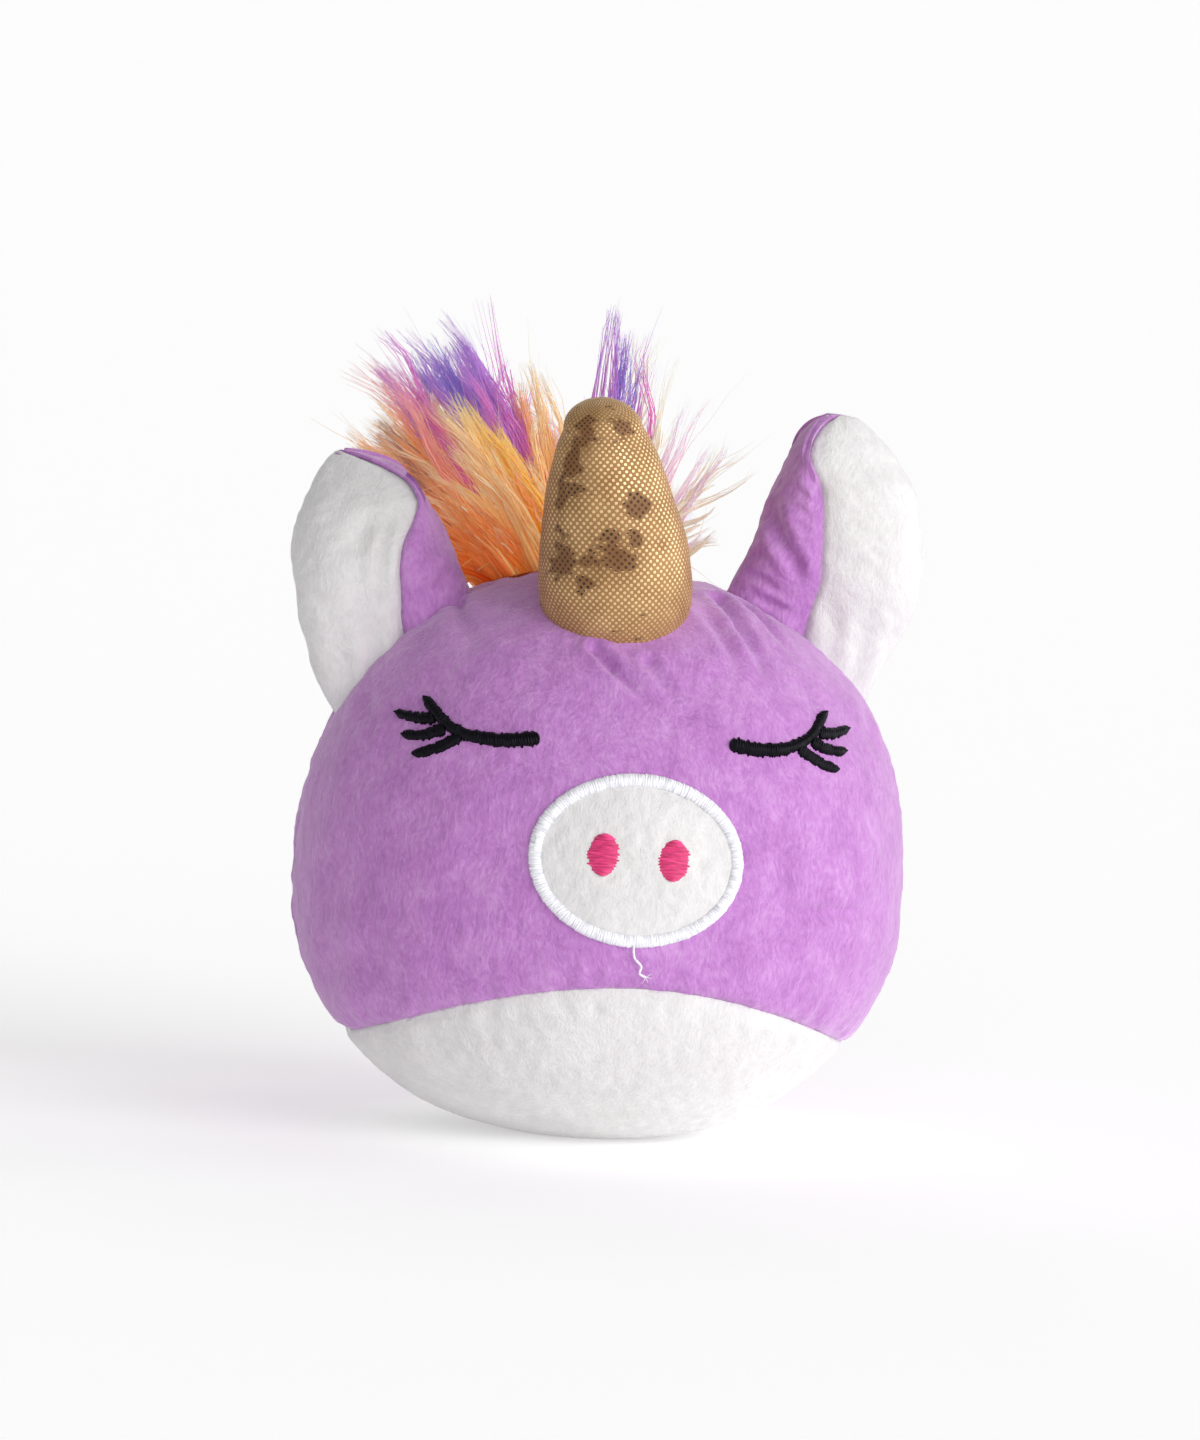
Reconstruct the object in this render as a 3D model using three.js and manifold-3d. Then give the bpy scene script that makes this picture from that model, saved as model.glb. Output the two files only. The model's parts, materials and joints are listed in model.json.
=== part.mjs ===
// A small stuffed unicorn with a ball-shaped body, made of its separate sewn pieces.
// Millimetres, +Z up. The origin is the centre of the flat base and the face looks along -Y.
// Left and right are the toy's own, so left is +X.
import * as THREE from "three";
import { mergeVertices } from "three/addons/utils/BufferGeometryUtils.js";
import Module from "manifold-3d";

const wasm = await Module();
wasm.setup();

// ---- driving dimensions -------------------------------------------------------------------

const BODY = {
  width: 105.8,
  depth: 97,
  height: 96.5,
  widest: 44, // height of the widest level
  flattening: 1, // how much of the round bottom the resting plane cuts away
  power: 2.25, // 2 would be an ellipsoid, and more is squarer
};
const PLUSH = 1.8; // short-pile fabric with its backing
const FOIL = 0.9; // foil-printed fabric
const SATIN = 1.3; // height of satin embroidery over the pile
const APPLIQUE = 1.2;
const STABILISER = 0.5; // non-woven backing left behind the embroidery
const GAP = 0.4; // between pieces that touch
const CLEARANCE = 0.9; // between the body and a piece that hinges on it

// Places on the face are shares of the body's height, so that they keep to it.
const level = (share) => share * BODY.height;

const BELLY_SEAM = { side: level(0.1585), front: level(0.2985), arch: 46 }; // arch: half its width
const FACE_SEAM_Y = 2; // the face panel meets the back panels here

const SNOUT = { x: 0.9, z: level(0.5285), width: 37, height: 29.6, border: 2.5, tilt: 3 };
const NOSTRIL = { spread: 6.2, rise: 0.5, width: 5.8, height: 7.2 };
const THREAD_TAIL = { x: 0.5, drop: 6, wander: 1.6, thickness: 0.5 };

// One closed eye in the front view, from its middle line outwards: strokes as [x, height over z] points.
const EYE_STROKE = 2.3;
const LASH_STROKE = 1.7;
const EYE = {
  z: level(0.7358),
  lid: [[16, 0], [22, -0.9], [27.5, -0.5], [31.2, 1.3], [34, 4.5]],
  lashes: [
    [[32.6, 1.4], [35.5, 1.2], [38.4, 1.6]],
    [[31.4, 0.2], [34.2, -1.4], [37.5, -1.7]],
    [[29.2, -1.1], [32.6, -3.3], [36, -4.6]],
  ],
};

const HORN = {
  x: -1.8,
  y: -20,
  lift: 1, // hinge line above the body
  length: 36,
  radius: 13.4,
  tipRadius: 5,
  nod: 15, // leans forwards
  lean: -6, // leans to the toy's right
  range: 12,
};

// pinch is the share of the depth that is left where the root is sewn flat.
const EAR = { y: -1, lift: 1, width: 30, depth: 18, pinch: 0.5, root: 6, range: 25 };
const EARS = {
  left: { side: 1, x: 34, slope: 35, upright: 8, seamYaw: 22, length: 37.5, tipBack: 2, round: 2.2 },
  right: { side: -1, x: 37.5, slope: 42, upright: 14, seamYaw: 30, length: 33, tipBack: 11, round: 3 },
};

const MANE = { x: -3, y: 14, width: 36, depth: 22, backing: 1, back: 20, forward: 8, hingeY: 12 };
// Each lock leans sideways and back from its root, in degrees, and is a flattened spindle.
const LOCKS = [
  { name: "mane_lock_far_right", x: -15.5, y: 17, side: -54, back: 26, length: 42, width: 10, depth: 10 },
  { name: "mane_lock_right", x: -9.5, y: 13, side: -35, back: 14, length: 47, width: 12, depth: 11 },
  { name: "mane_lock_mid_right", x: -3.5, y: 12, side: -15, back: 11, length: 39, width: 10, depth: 11 },
  { name: "mane_lock_centre", x: 2.5, y: 12, side: 6, back: 11, length: 44, width: 9, depth: 10 },
  { name: "mane_lock_left", x: 8.5, y: 13, side: 36, back: 14, length: 29, width: 8, depth: 9 },
  { name: "mane_lock_back", x: -3, y: 21, side: -8, back: 55, length: 36, width: 24, depth: 9 },
];

const CLOSING = { low: 34, high: 62, stitches: 9, reach: 1.7, thread: 0.7 };
const LABEL = { width: 12, length: 15, thickness: 0.6, droop: 48 };

// ---- materials ----------------------------------------------------------------------------

const fabric = (color, roughness = 0.95, metalness = 0) =>
  new THREE.MeshStandardMaterial({ color, roughness, metalness });
const LILAC = fabric("#b978c2");
const WHITE = fabric("#eeecea");
const GOLD = fabric("#b98f5e", 0.42, 0.75);
const WHITE_THREAD = fabric("#f4f4f6", 0.5);
const PINK_THREAD = fabric("#d83a80", 0.5);
const BLACK_THREAD = fabric("#17141f", 0.5);
const LILAC_THREAD = fabric("#9d5fa8", 0.6);
const FUR = fabric("#e2935a", 0.7);
const FIBRE = fabric("#f5f5f0", 1);
const NON_WOVEN = fabric("#e8e8e8", 0.9);
const LABEL_SATIN = fabric("#fbfbfb", 0.45);

// ---- solids -------------------------------------------------------------------------------

const rad = THREE.MathUtils.degToRad;

// A closed three.js geometry as a manifold solid.
function solidOf(geometry) {
  const bare = geometry.index ? geometry.toNonIndexed() : geometry.clone();
  bare.deleteAttribute("normal");
  bare.deleteAttribute("uv");
  const merged = mergeVertices(bare, 1e-4);
  return new wasm.Manifold(
    new wasm.Mesh({
      numProp: 3,
      vertProperties: merged.attributes.position.array,
      triVerts: new Uint32Array(merged.index.array),
    }),
  );
}

function geometryOf(solid) {
  const { vertProperties, triVerts } = solid.getMesh();
  const geometry = new THREE.BufferGeometry();
  geometry.setAttribute("position", new THREE.BufferAttribute(vertProperties, 3));
  geometry.setIndex(new THREE.BufferAttribute(triVerts, 1));
  geometry.computeVertexNormals();
  return geometry;
}

const moved = (solid, matrix) => solid.transform(matrix.toArray());

// A solid of revolution about Z from [radius, z] points that run up from the axis to the axis.
function turned(points, segments) {
  const profile = points.map(([r, z]) => new THREE.Vector2(r, z));
  return solidOf(new THREE.LatheGeometry(profile, segments).rotateX(Math.PI / 2));
}

// A front-view outline pushed through from y = near to y = far.
function throughFront(shape, near, far) {
  const block = new THREE.ExtrudeGeometry(shape, {
    depth: far - near,
    bevelEnabled: false,
    curveSegments: 12,
  });
  return solidOf(block.rotateX(Math.PI / 2).translate(0, far, 0));
}

function ellipse(x, z, width, height, tilt = 0) {
  return new THREE.Shape().absellipse(x, z, width / 2, height / 2, 0, 2 * Math.PI, false, -rad(tilt));
}

// The space on the +side of the plane x = 0, turned about Z, and kept half a seam gap away.
function halfSpace(side, turn = 0) {
  const size = 4 * BODY.width;
  const block = new THREE.BoxGeometry(size, size, size);
  block.translate(side * (size / 2 + GAP / 2), 0, 0).rotateZ(rad(turn));
  return solidOf(block);
}

// ---- the body's form ----------------------------------------------------------------------

// Height of the body's skin over a point of its upper half.
function skinHeight(x, y) {
  const across = Math.hypot((2 * x) / BODY.width, (2 * y) / BODY.depth);
  const rise = (1 - across ** BODY.power) ** (1 / BODY.power);
  return BODY.widest + (BODY.height - BODY.widest) * rise;
}

// How far the skin is in front of the middle plane, or behind it, at a point of the front view.
function skinDepth(x, z) {
  const reach = z > BODY.widest ? BODY.height - BODY.widest : BODY.widest + BODY.flattening;
  const level = Math.abs(z - BODY.widest) / reach;
  const across = (1 - level ** BODY.power) ** (2 / BODY.power);
  return (BODY.depth / 2) * Math.sqrt(across - ((2 * x) / BODY.width) ** 2);
}

// The body's form, shrunk by an inset, or grown where the inset is negative.
function bodyForm(inset = 0, segments = 40, rings = 16) {
  const upper = BODY.height - BODY.widest - inset;
  const lower = BODY.widest + BODY.flattening - inset;
  const floor = Math.max(inset, 0);
  const flat = Math.min(1, (BODY.widest - floor) / lower) ** (BODY.power / 2);
  const from = -Math.asin(flat);
  const soften = 2 / BODY.power;
  const profile = [[0, BODY.widest - lower * flat ** soften]];
  for (let i = 0; i < rings; i++) {
    const t = from + ((Math.PI / 2 - from) * i) / rings;
    const rise = Math.sign(t) * Math.abs(Math.sin(t)) ** soften;
    const radius = (BODY.width / 2 - inset) * Math.cos(t) ** soften;
    profile.push([radius, BODY.widest + rise * (t < 0 ? lower : upper)]);
  }
  profile.push([0, BODY.height - inset]);
  const flatten = (BODY.depth / 2 - inset) / (BODY.width / 2 - inset);
  return turned(profile, segments).scale([1, flatten, 1]);
}

// A skin that lies between two insets of the body's form.
const skin = (outer, inner) => bodyForm(outer).subtract(bodyForm(inner));

// The space under the belly seam, which arches up over the front. shift moves the seam outwards.
function underBellySeam(shift) {
  const reach = BODY.width;
  const { side, front, arch } = BELLY_SEAM;
  const shape = new THREE.Shape();
  shape.moveTo(-reach, -reach);
  shape.lineTo(reach, -reach);
  shape.lineTo(reach, side + shift);
  shape.lineTo(arch, side + shift);
  shape.quadraticCurveTo(0, 2 * front - side + shift, -arch, side + shift);
  shape.lineTo(-reach, side + shift);
  const arched = throughFront(shape, -reach, FACE_SEAM_Y + shift);
  const level = new THREE.BoxGeometry(2 * reach, 2 * reach, 2 * reach);
  level.translate(0, 0, side + shift - reach);
  return arched.add(solidOf(level));
}

// ---- scene graph --------------------------------------------------------------------------

const unicorn = new THREE.Group();

function addPiece(name, solid, material, parent = unicorn) {
  const mesh = new THREE.Mesh(geometryOf(solid), material);
  mesh.name = name;
  parent.add(mesh);
}

// A group whose own X axis is a hinge line, raised above the skin at a point of the crown.
function hingeFrame(x, y, lift, slope = 0) {
  const frame = new THREE.Group();
  frame.position.set(x, y, skinHeight(x, y));
  frame.rotation.y = rad(slope);
  frame.translateZ(lift);
  frame.updateMatrixWorld(true);
  unicorn.add(frame);
  return frame;
}

// Cuts away what would meet the body anywhere in the hinge's range. raise is the height over the
// body of whatever else lies under the piece.
function clearedOfBody(solid, frame, [back, forward], raise = 0) {
  const inFrame = frame.matrixWorld.clone().invert();
  const body = moved(bodyForm(-CLEARANCE - raise, 24, 10), inFrame);
  return [-back, 0, forward].reduce((left, angle) => left.subtract(body.rotate([-angle, 0, 0])), solid);
}

// ---- body shell ---------------------------------------------------------------------------

const bellySpace = underBellySeam(-GAP / 2);
const aboveBelly = skin(0, PLUSH).subtract(underBellySeam(GAP / 2));
const frontSpace = halfSpace(-1, 90).translate([0, FACE_SEAM_Y, 0]);
const backSpace = halfSpace(1, 90).translate([0, FACE_SEAM_Y, 0]);
const rearShell = aboveBelly.intersect(backSpace);
const fillingInset = PLUSH + STABILISER + 3 * GAP;

addPiece("belly_panel", skin(0, PLUSH).intersect(bellySpace), WHITE);
addPiece("face_panel", aboveBelly.intersect(frontSpace), LILAC);
addPiece("back_panel_left", rearShell.intersect(halfSpace(1)), LILAC);
addPiece("back_panel_right", rearShell.intersect(halfSpace(-1)), LILAC);
addPiece("body_filling", bodyForm(fillingInset, 28, 12), FIBRE);

// ---- snout --------------------------------------------------------------------------------

// A skin piece on the face or behind it, cut to a front-view outline.
const onFace = (shape, outer, inner) =>
  skin(outer, inner).intersect(throughFront(shape, -BODY.depth, 0));

const snoutShape = (shrink) =>
  ellipse(SNOUT.x, SNOUT.z, SNOUT.width - 2 * shrink, SNOUT.height - 2 * shrink, SNOUT.tilt);
const snoutFace = GAP + APPLIQUE;

addPiece("snout_patch", onFace(snoutShape(SNOUT.border + GAP), -snoutFace, -GAP), WHITE);
addPiece(
  "snout_border",
  onFace(snoutShape(0), -GAP - SATIN, -GAP).subtract(
    throughFront(snoutShape(SNOUT.border), -BODY.depth, 0),
  ),
  WHITE_THREAD,
);
addPiece(
  "snout_stabiliser",
  onFace(snoutShape(-SNOUT.border), PLUSH + GAP, PLUSH + GAP + STABILISER),
  NON_WOVEN,
);
for (const [name, side] of [["nostril_left", 1], ["nostril_right", -1]]) {
  const turn = rad(SNOUT.tilt);
  const x = SNOUT.x + side * NOSTRIL.spread * Math.cos(turn);
  const z = SNOUT.z + NOSTRIL.rise - side * NOSTRIL.spread * Math.sin(turn);
  const shape = ellipse(x, z, NOSTRIL.width, NOSTRIL.height, SNOUT.tilt);
  addPiece(name, onFace(shape, -snoutFace - GAP - SATIN, -snoutFace - GAP), PINK_THREAD);
}

// ---- eyes ---------------------------------------------------------------------------------

// A front-view band of an even width along a smooth line, with round ends.
function band(points, width, side) {
  const line = new THREE.SplineCurve(points.map(([x, z]) => new THREE.Vector2(side * x, EYE.z + z)));
  const steps = 2 * (points.length - 1);
  const edge = (t, turn) => {
    const out = line.getTangent(t).rotateAround(new THREE.Vector2(), turn);
    return line.getPoint(t).addScaledVector(out, width / 2);
  };
  const along = Array.from({ length: steps + 1 }, (_, i) => i / steps);
  return new THREE.Shape([
    ...along.map((t) => edge(t, rad(-90))),
    ...[-45, 0, 45].map((turn) => edge(1, rad(turn))),
    ...along.map((t) => edge(1 - t, rad(90))),
    ...[135, 180, 225].map((turn) => edge(0, rad(turn))),
  ]);
}

function eye(side) {
  const strokes = [
    band(EYE.lid, EYE_STROKE, side),
    ...EYE.lashes.map((lash) => band(lash, LASH_STROKE, side)),
  ];
  return wasm.Manifold.union(strokes.map((shape) => onFace(shape, -GAP - SATIN, -GAP)));
}

for (const [name, side] of [["left", 1], ["right", -1]]) {
  const xs = [EYE.lid, ...EYE.lashes].flat().map(([x]) => side * x);
  const zs = [EYE.lid, ...EYE.lashes].flat().map(([, z]) => EYE.z + z);
  const middle = [(Math.min(...xs) + Math.max(...xs)) / 2, (Math.min(...zs) + Math.max(...zs)) / 2];
  const spread = [Math.max(...xs) - Math.min(...xs), Math.max(...zs) - Math.min(...zs)];
  const backing = ellipse(...middle, spread[0] * 1.1, spread[1] * 1.6);
  addPiece("eye_" + name, eye(side), BLACK_THREAD);
  addPiece(
    "eye_stabiliser_" + name,
    onFace(backing, PLUSH + GAP, PLUSH + GAP + STABILISER),
    NON_WOVEN,
  );
}

// ---- horn ---------------------------------------------------------------------------------

// A blunt cone, fullest a little above its root, with its root below the hinge line.
function hornForm(inset) {
  const rings = 5;
  const full = HORN.radius - inset;
  const tip = Math.max(HORN.tipRadius - inset, 1);
  const top = HORN.length - inset;
  const tipCentre = top - tip;
  const sink = 6;
  const profile = [[0, -sink], [full * 0.96, -sink]];
  for (let i = 0; i <= rings; i++) {
    const t = i / rings;
    const taper = 1 - t ** 1.9;
    profile.push([tip + (full - tip) * taper, tipCentre * t]);
  }
  for (const angle of [25, 50, 72]) {
    profile.push([tip * Math.cos(rad(angle)), tipCentre + tip * Math.sin(rad(angle))]);
  }
  profile.push([0, top]);
  return turned(profile, 20).rotate([HORN.nod, HORN.lean, 0]);
}

const hornFrame = hingeFrame(HORN.x, HORN.y, HORN.lift);
const hornRange = [HORN.range, HORN.range];
const hornShell = hornForm(0).subtract(hornForm(FOIL));
const hornCore = hornForm(FOIL + GAP);
addPiece("horn_cover", clearedOfBody(hornShell, hornFrame, hornRange), GOLD, hornFrame);
addPiece("horn_filling", clearedOfBody(hornCore, hornFrame, hornRange), FIBRE, hornFrame);

// ---- ears ---------------------------------------------------------------------------------

// A stuffed bud with a rounded tip that bends back, and a flat root that runs below the hinge line.
function earForm(ear, inset) {
  const length = ear.length - inset;
  const radius = EAR.width / 2 - inset;
  const profile = [[0, -EAR.root], [radius * 0.8, -EAR.root]];
  for (const t of [0, 0.18, 0.4, 0.6, 0.78, 0.9, 0.97]) {
    const swell = 0.9 + 0.1 * Math.sin(Math.min(1, t / 0.4) * (Math.PI / 2));
    const close = (1 - Math.max(0, (t - 0.3) / 0.7) ** ear.round) ** 0.5;
    profile.push([radius * swell * close, length * t]);
  }
  profile.push([0, length]);
  const flatten = (EAR.depth / 2 - inset) / radius;
  return turned(profile, 18)
    .scale([1, flatten, 1])
    .warp((p) => {
      const rise = THREE.MathUtils.clamp(p[2] / ear.length, 0, 1);
      p[1] *= THREE.MathUtils.lerp(EAR.pinch, 1, Math.min(1, 2.5 * rise));
      p[1] += ear.tipBack * rise ** 2;
    });
}

for (const [name, ear] of Object.entries(EARS)) {
  const { side, x, slope, upright, seamYaw } = ear;
  const frame = hingeFrame(side * x, EAR.y, EAR.lift, side * slope);
  const place = (name, solid, material) => {
    const stood = solid.rotate([0, side * (upright - slope), 0]);
    addPiece(name, clearedOfBody(stood, frame, [EAR.range, EAR.range]), material, frame);
  };
  const shell = earForm(ear, 0).subtract(earForm(ear, PLUSH));
  place(`ear_${name}_white`, shell.intersect(halfSpace(side, side * seamYaw)), WHITE);
  place(`ear_${name}_lilac`, shell.intersect(halfSpace(-side, side * seamYaw)), LILAC);
  place(`ear_${name}_filling`, earForm(ear, PLUSH + 2 * GAP), FIBRE);
}

// ---- mane ---------------------------------------------------------------------------------

const maneBacking = new THREE.CylinderGeometry(1, 1, BODY.height, 24).rotateX(Math.PI / 2);
maneBacking.scale(MANE.width / 2, MANE.depth / 2, 1).translate(MANE.x, MANE.y, BODY.height);
const manePatch = skin(-GAP - MANE.backing, -GAP).intersect(solidOf(maneBacking));
addPiece("mane_backing", manePatch, FUR);

// A flattened spindle that is widest past its middle, as a brushed tuft is.
function lockForm(lock) {
  const profile = [
    [0, 0], [0.5, 0], [0.68, 0.2], [0.92, 0.45], [1, 0.62], [0.82, 0.8], [0.42, 0.94], [0, 1],
  ];
  return turned(profile, 10).scale([lock.width / 2, lock.depth / 2, lock.length]);
}

const maneFrame = hingeFrame(0, MANE.hingeY, GAP + MANE.backing);
const maneRange = [MANE.back, MANE.forward];
for (const lock of LOCKS) {
  const root = skinHeight(lock.x, lock.y) - maneFrame.position.z;
  const solid = lockForm(lock)
    .rotate([-lock.back, 0, 0])
    .rotate([0, lock.side, 0])
    .translate([lock.x, lock.y - MANE.hingeY, root]);
  const cleared = clearedOfBody(solid, maneFrame, maneRange, GAP + MANE.backing);
  addPiece(lock.name, cleared, FUR, maneFrame);
}

// ---- threads and label --------------------------------------------------------------------

// A thread through [x, height over the skin, z] points, on the front (side -1) or the rear (side 1).
function thread(points, thickness, side) {
  const path = points.map(([x, lift, z]) => new THREE.Vector3(x, side * (skinDepth(x, z) + lift), z));
  const section = new THREE.Shape().absarc(0, 0, thickness / 2, 0, 2 * Math.PI);
  return solidOf(
    new THREE.ExtrudeGeometry(section, {
      steps: 2 * (points.length - 1),
      curveSegments: 3,
      bevelEnabled: false,
      extrudePath: new THREE.CatmullRomCurve3(path),
    }),
  );
}

// The hand-sewn ladder stitch that closes the rear seam, as one thread.
const ladder = Array.from({ length: CLOSING.stitches + 1 }, (_, i) => {
  const z = CLOSING.low + ((CLOSING.high - CLOSING.low) * i) / CLOSING.stitches;
  return [i % 2 ? CLOSING.reach : -CLOSING.reach, GAP + CLOSING.thread, z];
});
addPiece("closing_stitch", thread(ladder, CLOSING.thread, 1), LILAC_THREAD);

// The loose end of the embroidery thread under the snout.
const snoutFoot = SNOUT.z - SNOUT.height / 2 - GAP;
const tail = [0, 0.35, 0.7, 1].map((t, i) => [
  THREAD_TAIL.x + THREAD_TAIL.wander * t * (i % 2 ? -0.4 : 1),
  GAP + THREAD_TAIL.thickness,
  snoutFoot - THREAD_TAIL.thickness - THREAD_TAIL.drop * t,
]);
addPiece("snout_thread_end", thread(tail, THREAD_TAIL.thickness, -1), WHITE_THREAD);

// A folded tab that hangs from the seam between the belly and the back panels.
const labelFrame = new THREE.Group();
labelFrame.position.set(0, skinDepth(0, BELLY_SEAM.side) + GAP + LABEL.thickness, BELLY_SEAM.side);
const tab = new THREE.BoxGeometry(LABEL.width, LABEL.length, LABEL.thickness);
tab.translate(0, LABEL.length / 2, 0).rotateX(-rad(LABEL.droop));
addPiece("care_label", solidOf(tab), LABEL_SATIN, labelFrame);
unicorn.add(labelFrame);

export default unicorn;
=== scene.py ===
"""The stuffed unicorn's looks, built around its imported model. Metres, +Z up, and the face looks along -Y.

Left and right are the toy's own, so left is +X. Sizes given in MM are millimetres of the real toy.
"""

import json
import math

import bmesh
import bpy
import numpy as np
from mathutils import Matrix, Vector
from mathutils.bvhtree import BVHTree


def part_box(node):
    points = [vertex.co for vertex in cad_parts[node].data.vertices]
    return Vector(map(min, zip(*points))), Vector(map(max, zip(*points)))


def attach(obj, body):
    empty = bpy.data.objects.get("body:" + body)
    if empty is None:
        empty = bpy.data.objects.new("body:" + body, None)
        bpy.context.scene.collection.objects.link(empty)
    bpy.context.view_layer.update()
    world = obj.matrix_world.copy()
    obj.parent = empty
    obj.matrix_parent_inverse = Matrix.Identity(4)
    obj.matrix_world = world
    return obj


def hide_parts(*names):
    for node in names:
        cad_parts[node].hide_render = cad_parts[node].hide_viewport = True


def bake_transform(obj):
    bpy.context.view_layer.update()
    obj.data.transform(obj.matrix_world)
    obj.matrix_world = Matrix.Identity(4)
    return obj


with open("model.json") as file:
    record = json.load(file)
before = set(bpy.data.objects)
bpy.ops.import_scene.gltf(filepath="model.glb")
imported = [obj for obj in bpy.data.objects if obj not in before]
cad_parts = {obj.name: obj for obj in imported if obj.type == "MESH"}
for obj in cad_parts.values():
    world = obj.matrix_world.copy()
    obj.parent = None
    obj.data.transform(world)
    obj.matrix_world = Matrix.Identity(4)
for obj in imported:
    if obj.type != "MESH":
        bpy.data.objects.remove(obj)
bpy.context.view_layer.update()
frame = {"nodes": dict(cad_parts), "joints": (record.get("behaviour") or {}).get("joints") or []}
joints = {joint["name"]: joint for joint in frame["joints"]}
MM = 0.001


# ---- camera -------------------------------------------------------------------------------

VIEW_AZIMUTH = math.radians(-7)
VIEW_ELEVATION = math.radians(5)
CAMERA_ROLL = math.radians(2.75)  # so the toy leans a little to its left
VIEW_HEIGHT = 248 * MM  # what the camera covers at the toy
CAMERA_DISTANCE = 1.6
SENSOR = 36


def make_camera():
    towards = Vector(
        (
            math.sin(VIEW_AZIMUTH) * math.cos(VIEW_ELEVATION),
            -math.cos(VIEW_AZIMUTH) * math.cos(VIEW_ELEVATION),
            math.sin(VIEW_ELEVATION),
        )
    )
    across = Vector((math.cos(VIEW_AZIMUTH), math.sin(VIEW_AZIMUTH), 0))
    upright = towards.cross(across)
    right = across * math.cos(CAMERA_ROLL) + upright * math.sin(CAMERA_ROLL)
    up = towards.cross(right)
    aim = Vector((-0.3, 6, 70.2)) * MM
    data = bpy.data.cameras.new("camera")
    data.sensor_width = SENSOR
    data.lens = SENSOR * CAMERA_DISTANCE / VIEW_HEIGHT
    data.clip_start = 0.05
    camera = bpy.data.objects.new("camera", data)
    turn = Matrix((right, up, towards)).transposed()
    camera.matrix_world = Matrix.Translation(aim + towards * CAMERA_DISTANCE) @ turn.to_4x4()
    bpy.context.scene.collection.objects.link(camera)
    bpy.context.scene.camera = camera


# ---- node helpers -------------------------------------------------------------------------


def linear(colour):
    """An sRGB hex colour as linear RGBA."""
    channels = [int(colour[i : i + 2], 16) / 255 for i in (1, 3, 5)]
    return [c / 12.92 if c <= 0.04045 else ((c + 0.055) / 1.055) ** 2.4 for c in channels] + [1]


def add(tree, kind, inputs=None, **settings):
    """Adds a node. Each input is set to a value, or is linked where the value is another node's socket."""
    made = tree.nodes.new("ShaderNode" + kind)
    for name, value in settings.items():
        setattr(made, name, value)
    for name, value in (inputs or {}).items():
        if isinstance(value, bpy.types.NodeSocket):
            tree.links.new(value, made.inputs[name])
        else:
            made.inputs[name].default_value = value
    return made


def blank(name):
    """A new material with an empty tree."""
    material = bpy.data.materials.new(name)
    material.use_nodes = True
    material.node_tree.nodes.clear()
    return material, material.node_tree


def close(tree, shader):
    add(tree, "OutputMaterial", {"Surface": shader.outputs["BSDF"]})


def ramp(tree, factor, *stops):
    """A colour ramp of (place, hex colour) stops."""
    made = add(tree, "ValToRGB", {"Fac": factor})
    elements = made.color_ramp.elements
    while len(elements) < len(stops):
        elements.new(0.5)
    for element, (place, colour) in zip(elements, stops):
        element.position = place
        element.color = linear(colour)
    return made.outputs["Color"]


def per_metre(size_mm):
    """The noise scale that gives features of about that size."""
    return 1 / (size_mm * MM)


# ---- materials ----------------------------------------------------------------------------


def brushed_minky(name, deep, middle, pale, tint):
    """Minky: a knit with a brushed polyester pile about 2 mm long. The pile stands in fine tufts and has
    been stroked this way and that, which shows as soft darker and paler patches. Its tips catch the light
    where the cloth turns away, so its edges look pale."""
    material, tree = blank(name)
    cloth = add(tree, "Attribute", attribute_name="cloth").outputs["Vector"]
    swirl = add(tree, "TexNoise", {"Vector": cloth, "Scale": per_metre(11), "Detail": 2.0})
    bent = add(
        tree,
        "VectorMath",
        {0: swirl.outputs["Color"], 1: (6 * MM, 6 * MM, 6 * MM), 2: cloth},
        operation="MULTIPLY_ADD",
    )
    lay = add(tree, "Mapping", {"Vector": bent.outputs[0], "Scale": (1, 1, 0.45)})
    tufts = add(
        tree,
        "TexNoise",
        {"Vector": lay.outputs[0], "Scale": per_metre(0.7), "Detail": 4.0, "Roughness": 0.7},
    )
    stroked = add(
        tree,
        "TexNoise",
        {"Vector": bent.outputs[0], "Scale": per_metre(6), "Detail": 4.0, "Roughness": 0.55},
    )
    mixed = add(
        tree,
        "Mix",
        {"Factor": 0.4, 2: tufts.outputs["Fac"], 3: stroked.outputs["Fac"]},
        data_type="FLOAT",
    )
    colour = ramp(tree, mixed.outputs[0], (0.28, deep), (0.5, middle), (0.72, pale))
    pile = add(
        tree,
        "Bump",
        {"Height": tufts.outputs["Fac"], "Distance": 0.6 * MM, "Strength": 0.5},
    )
    shader = add(
        tree,
        "BsdfPrincipled",
        {
            "Base Color": colour,
            "Roughness": 0.95,
            "Specular IOR Level": 0.1,
            "Sheen Weight": 0.8,
            "Sheen Roughness": 0.4,
            "Sheen Tint": linear(tint),
            "Normal": pile.outputs[0],
        },
    )
    close(tree, shader)
    return material


def satin_thread(name, dark, light, roughness=0.38, gloss=0.5, sheen=0.3):
    """Rayon embroidery thread in satin stitch: glossy along each stitch, with fine dark lines between
    the stitches."""
    material, tree = blank(name)
    along = add(tree, "Attribute", attribute_name="cloth").outputs["Vector"]
    lay = add(tree, "Mapping", {"Vector": along, "Scale": (1, 0.12, 1)})
    threads = add(
        tree,
        "TexNoise",
        {"Vector": lay.outputs[0], "Scale": per_metre(0.3), "Detail": 2.0, "Roughness": 0.6},
    )
    colour = ramp(tree, threads.outputs["Fac"], (0.3, dark), (0.62, light))
    ridges = add(
        tree,
        "Bump",
        {"Height": threads.outputs["Fac"], "Distance": 0.25 * MM, "Strength": 0.6},
    )
    shader = add(
        tree,
        "BsdfPrincipled",
        {
            "Base Color": colour,
            "Roughness": roughness,
            "Specular IOR Level": gloss,
            "Sheen Weight": sheen,
            "Normal": ridges.outputs[0],
        },
    )
    close(tree, shader)
    return material


FOIL_PITCH = 0.72  # mm from dot to dot, along rows that run diagonally


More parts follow.
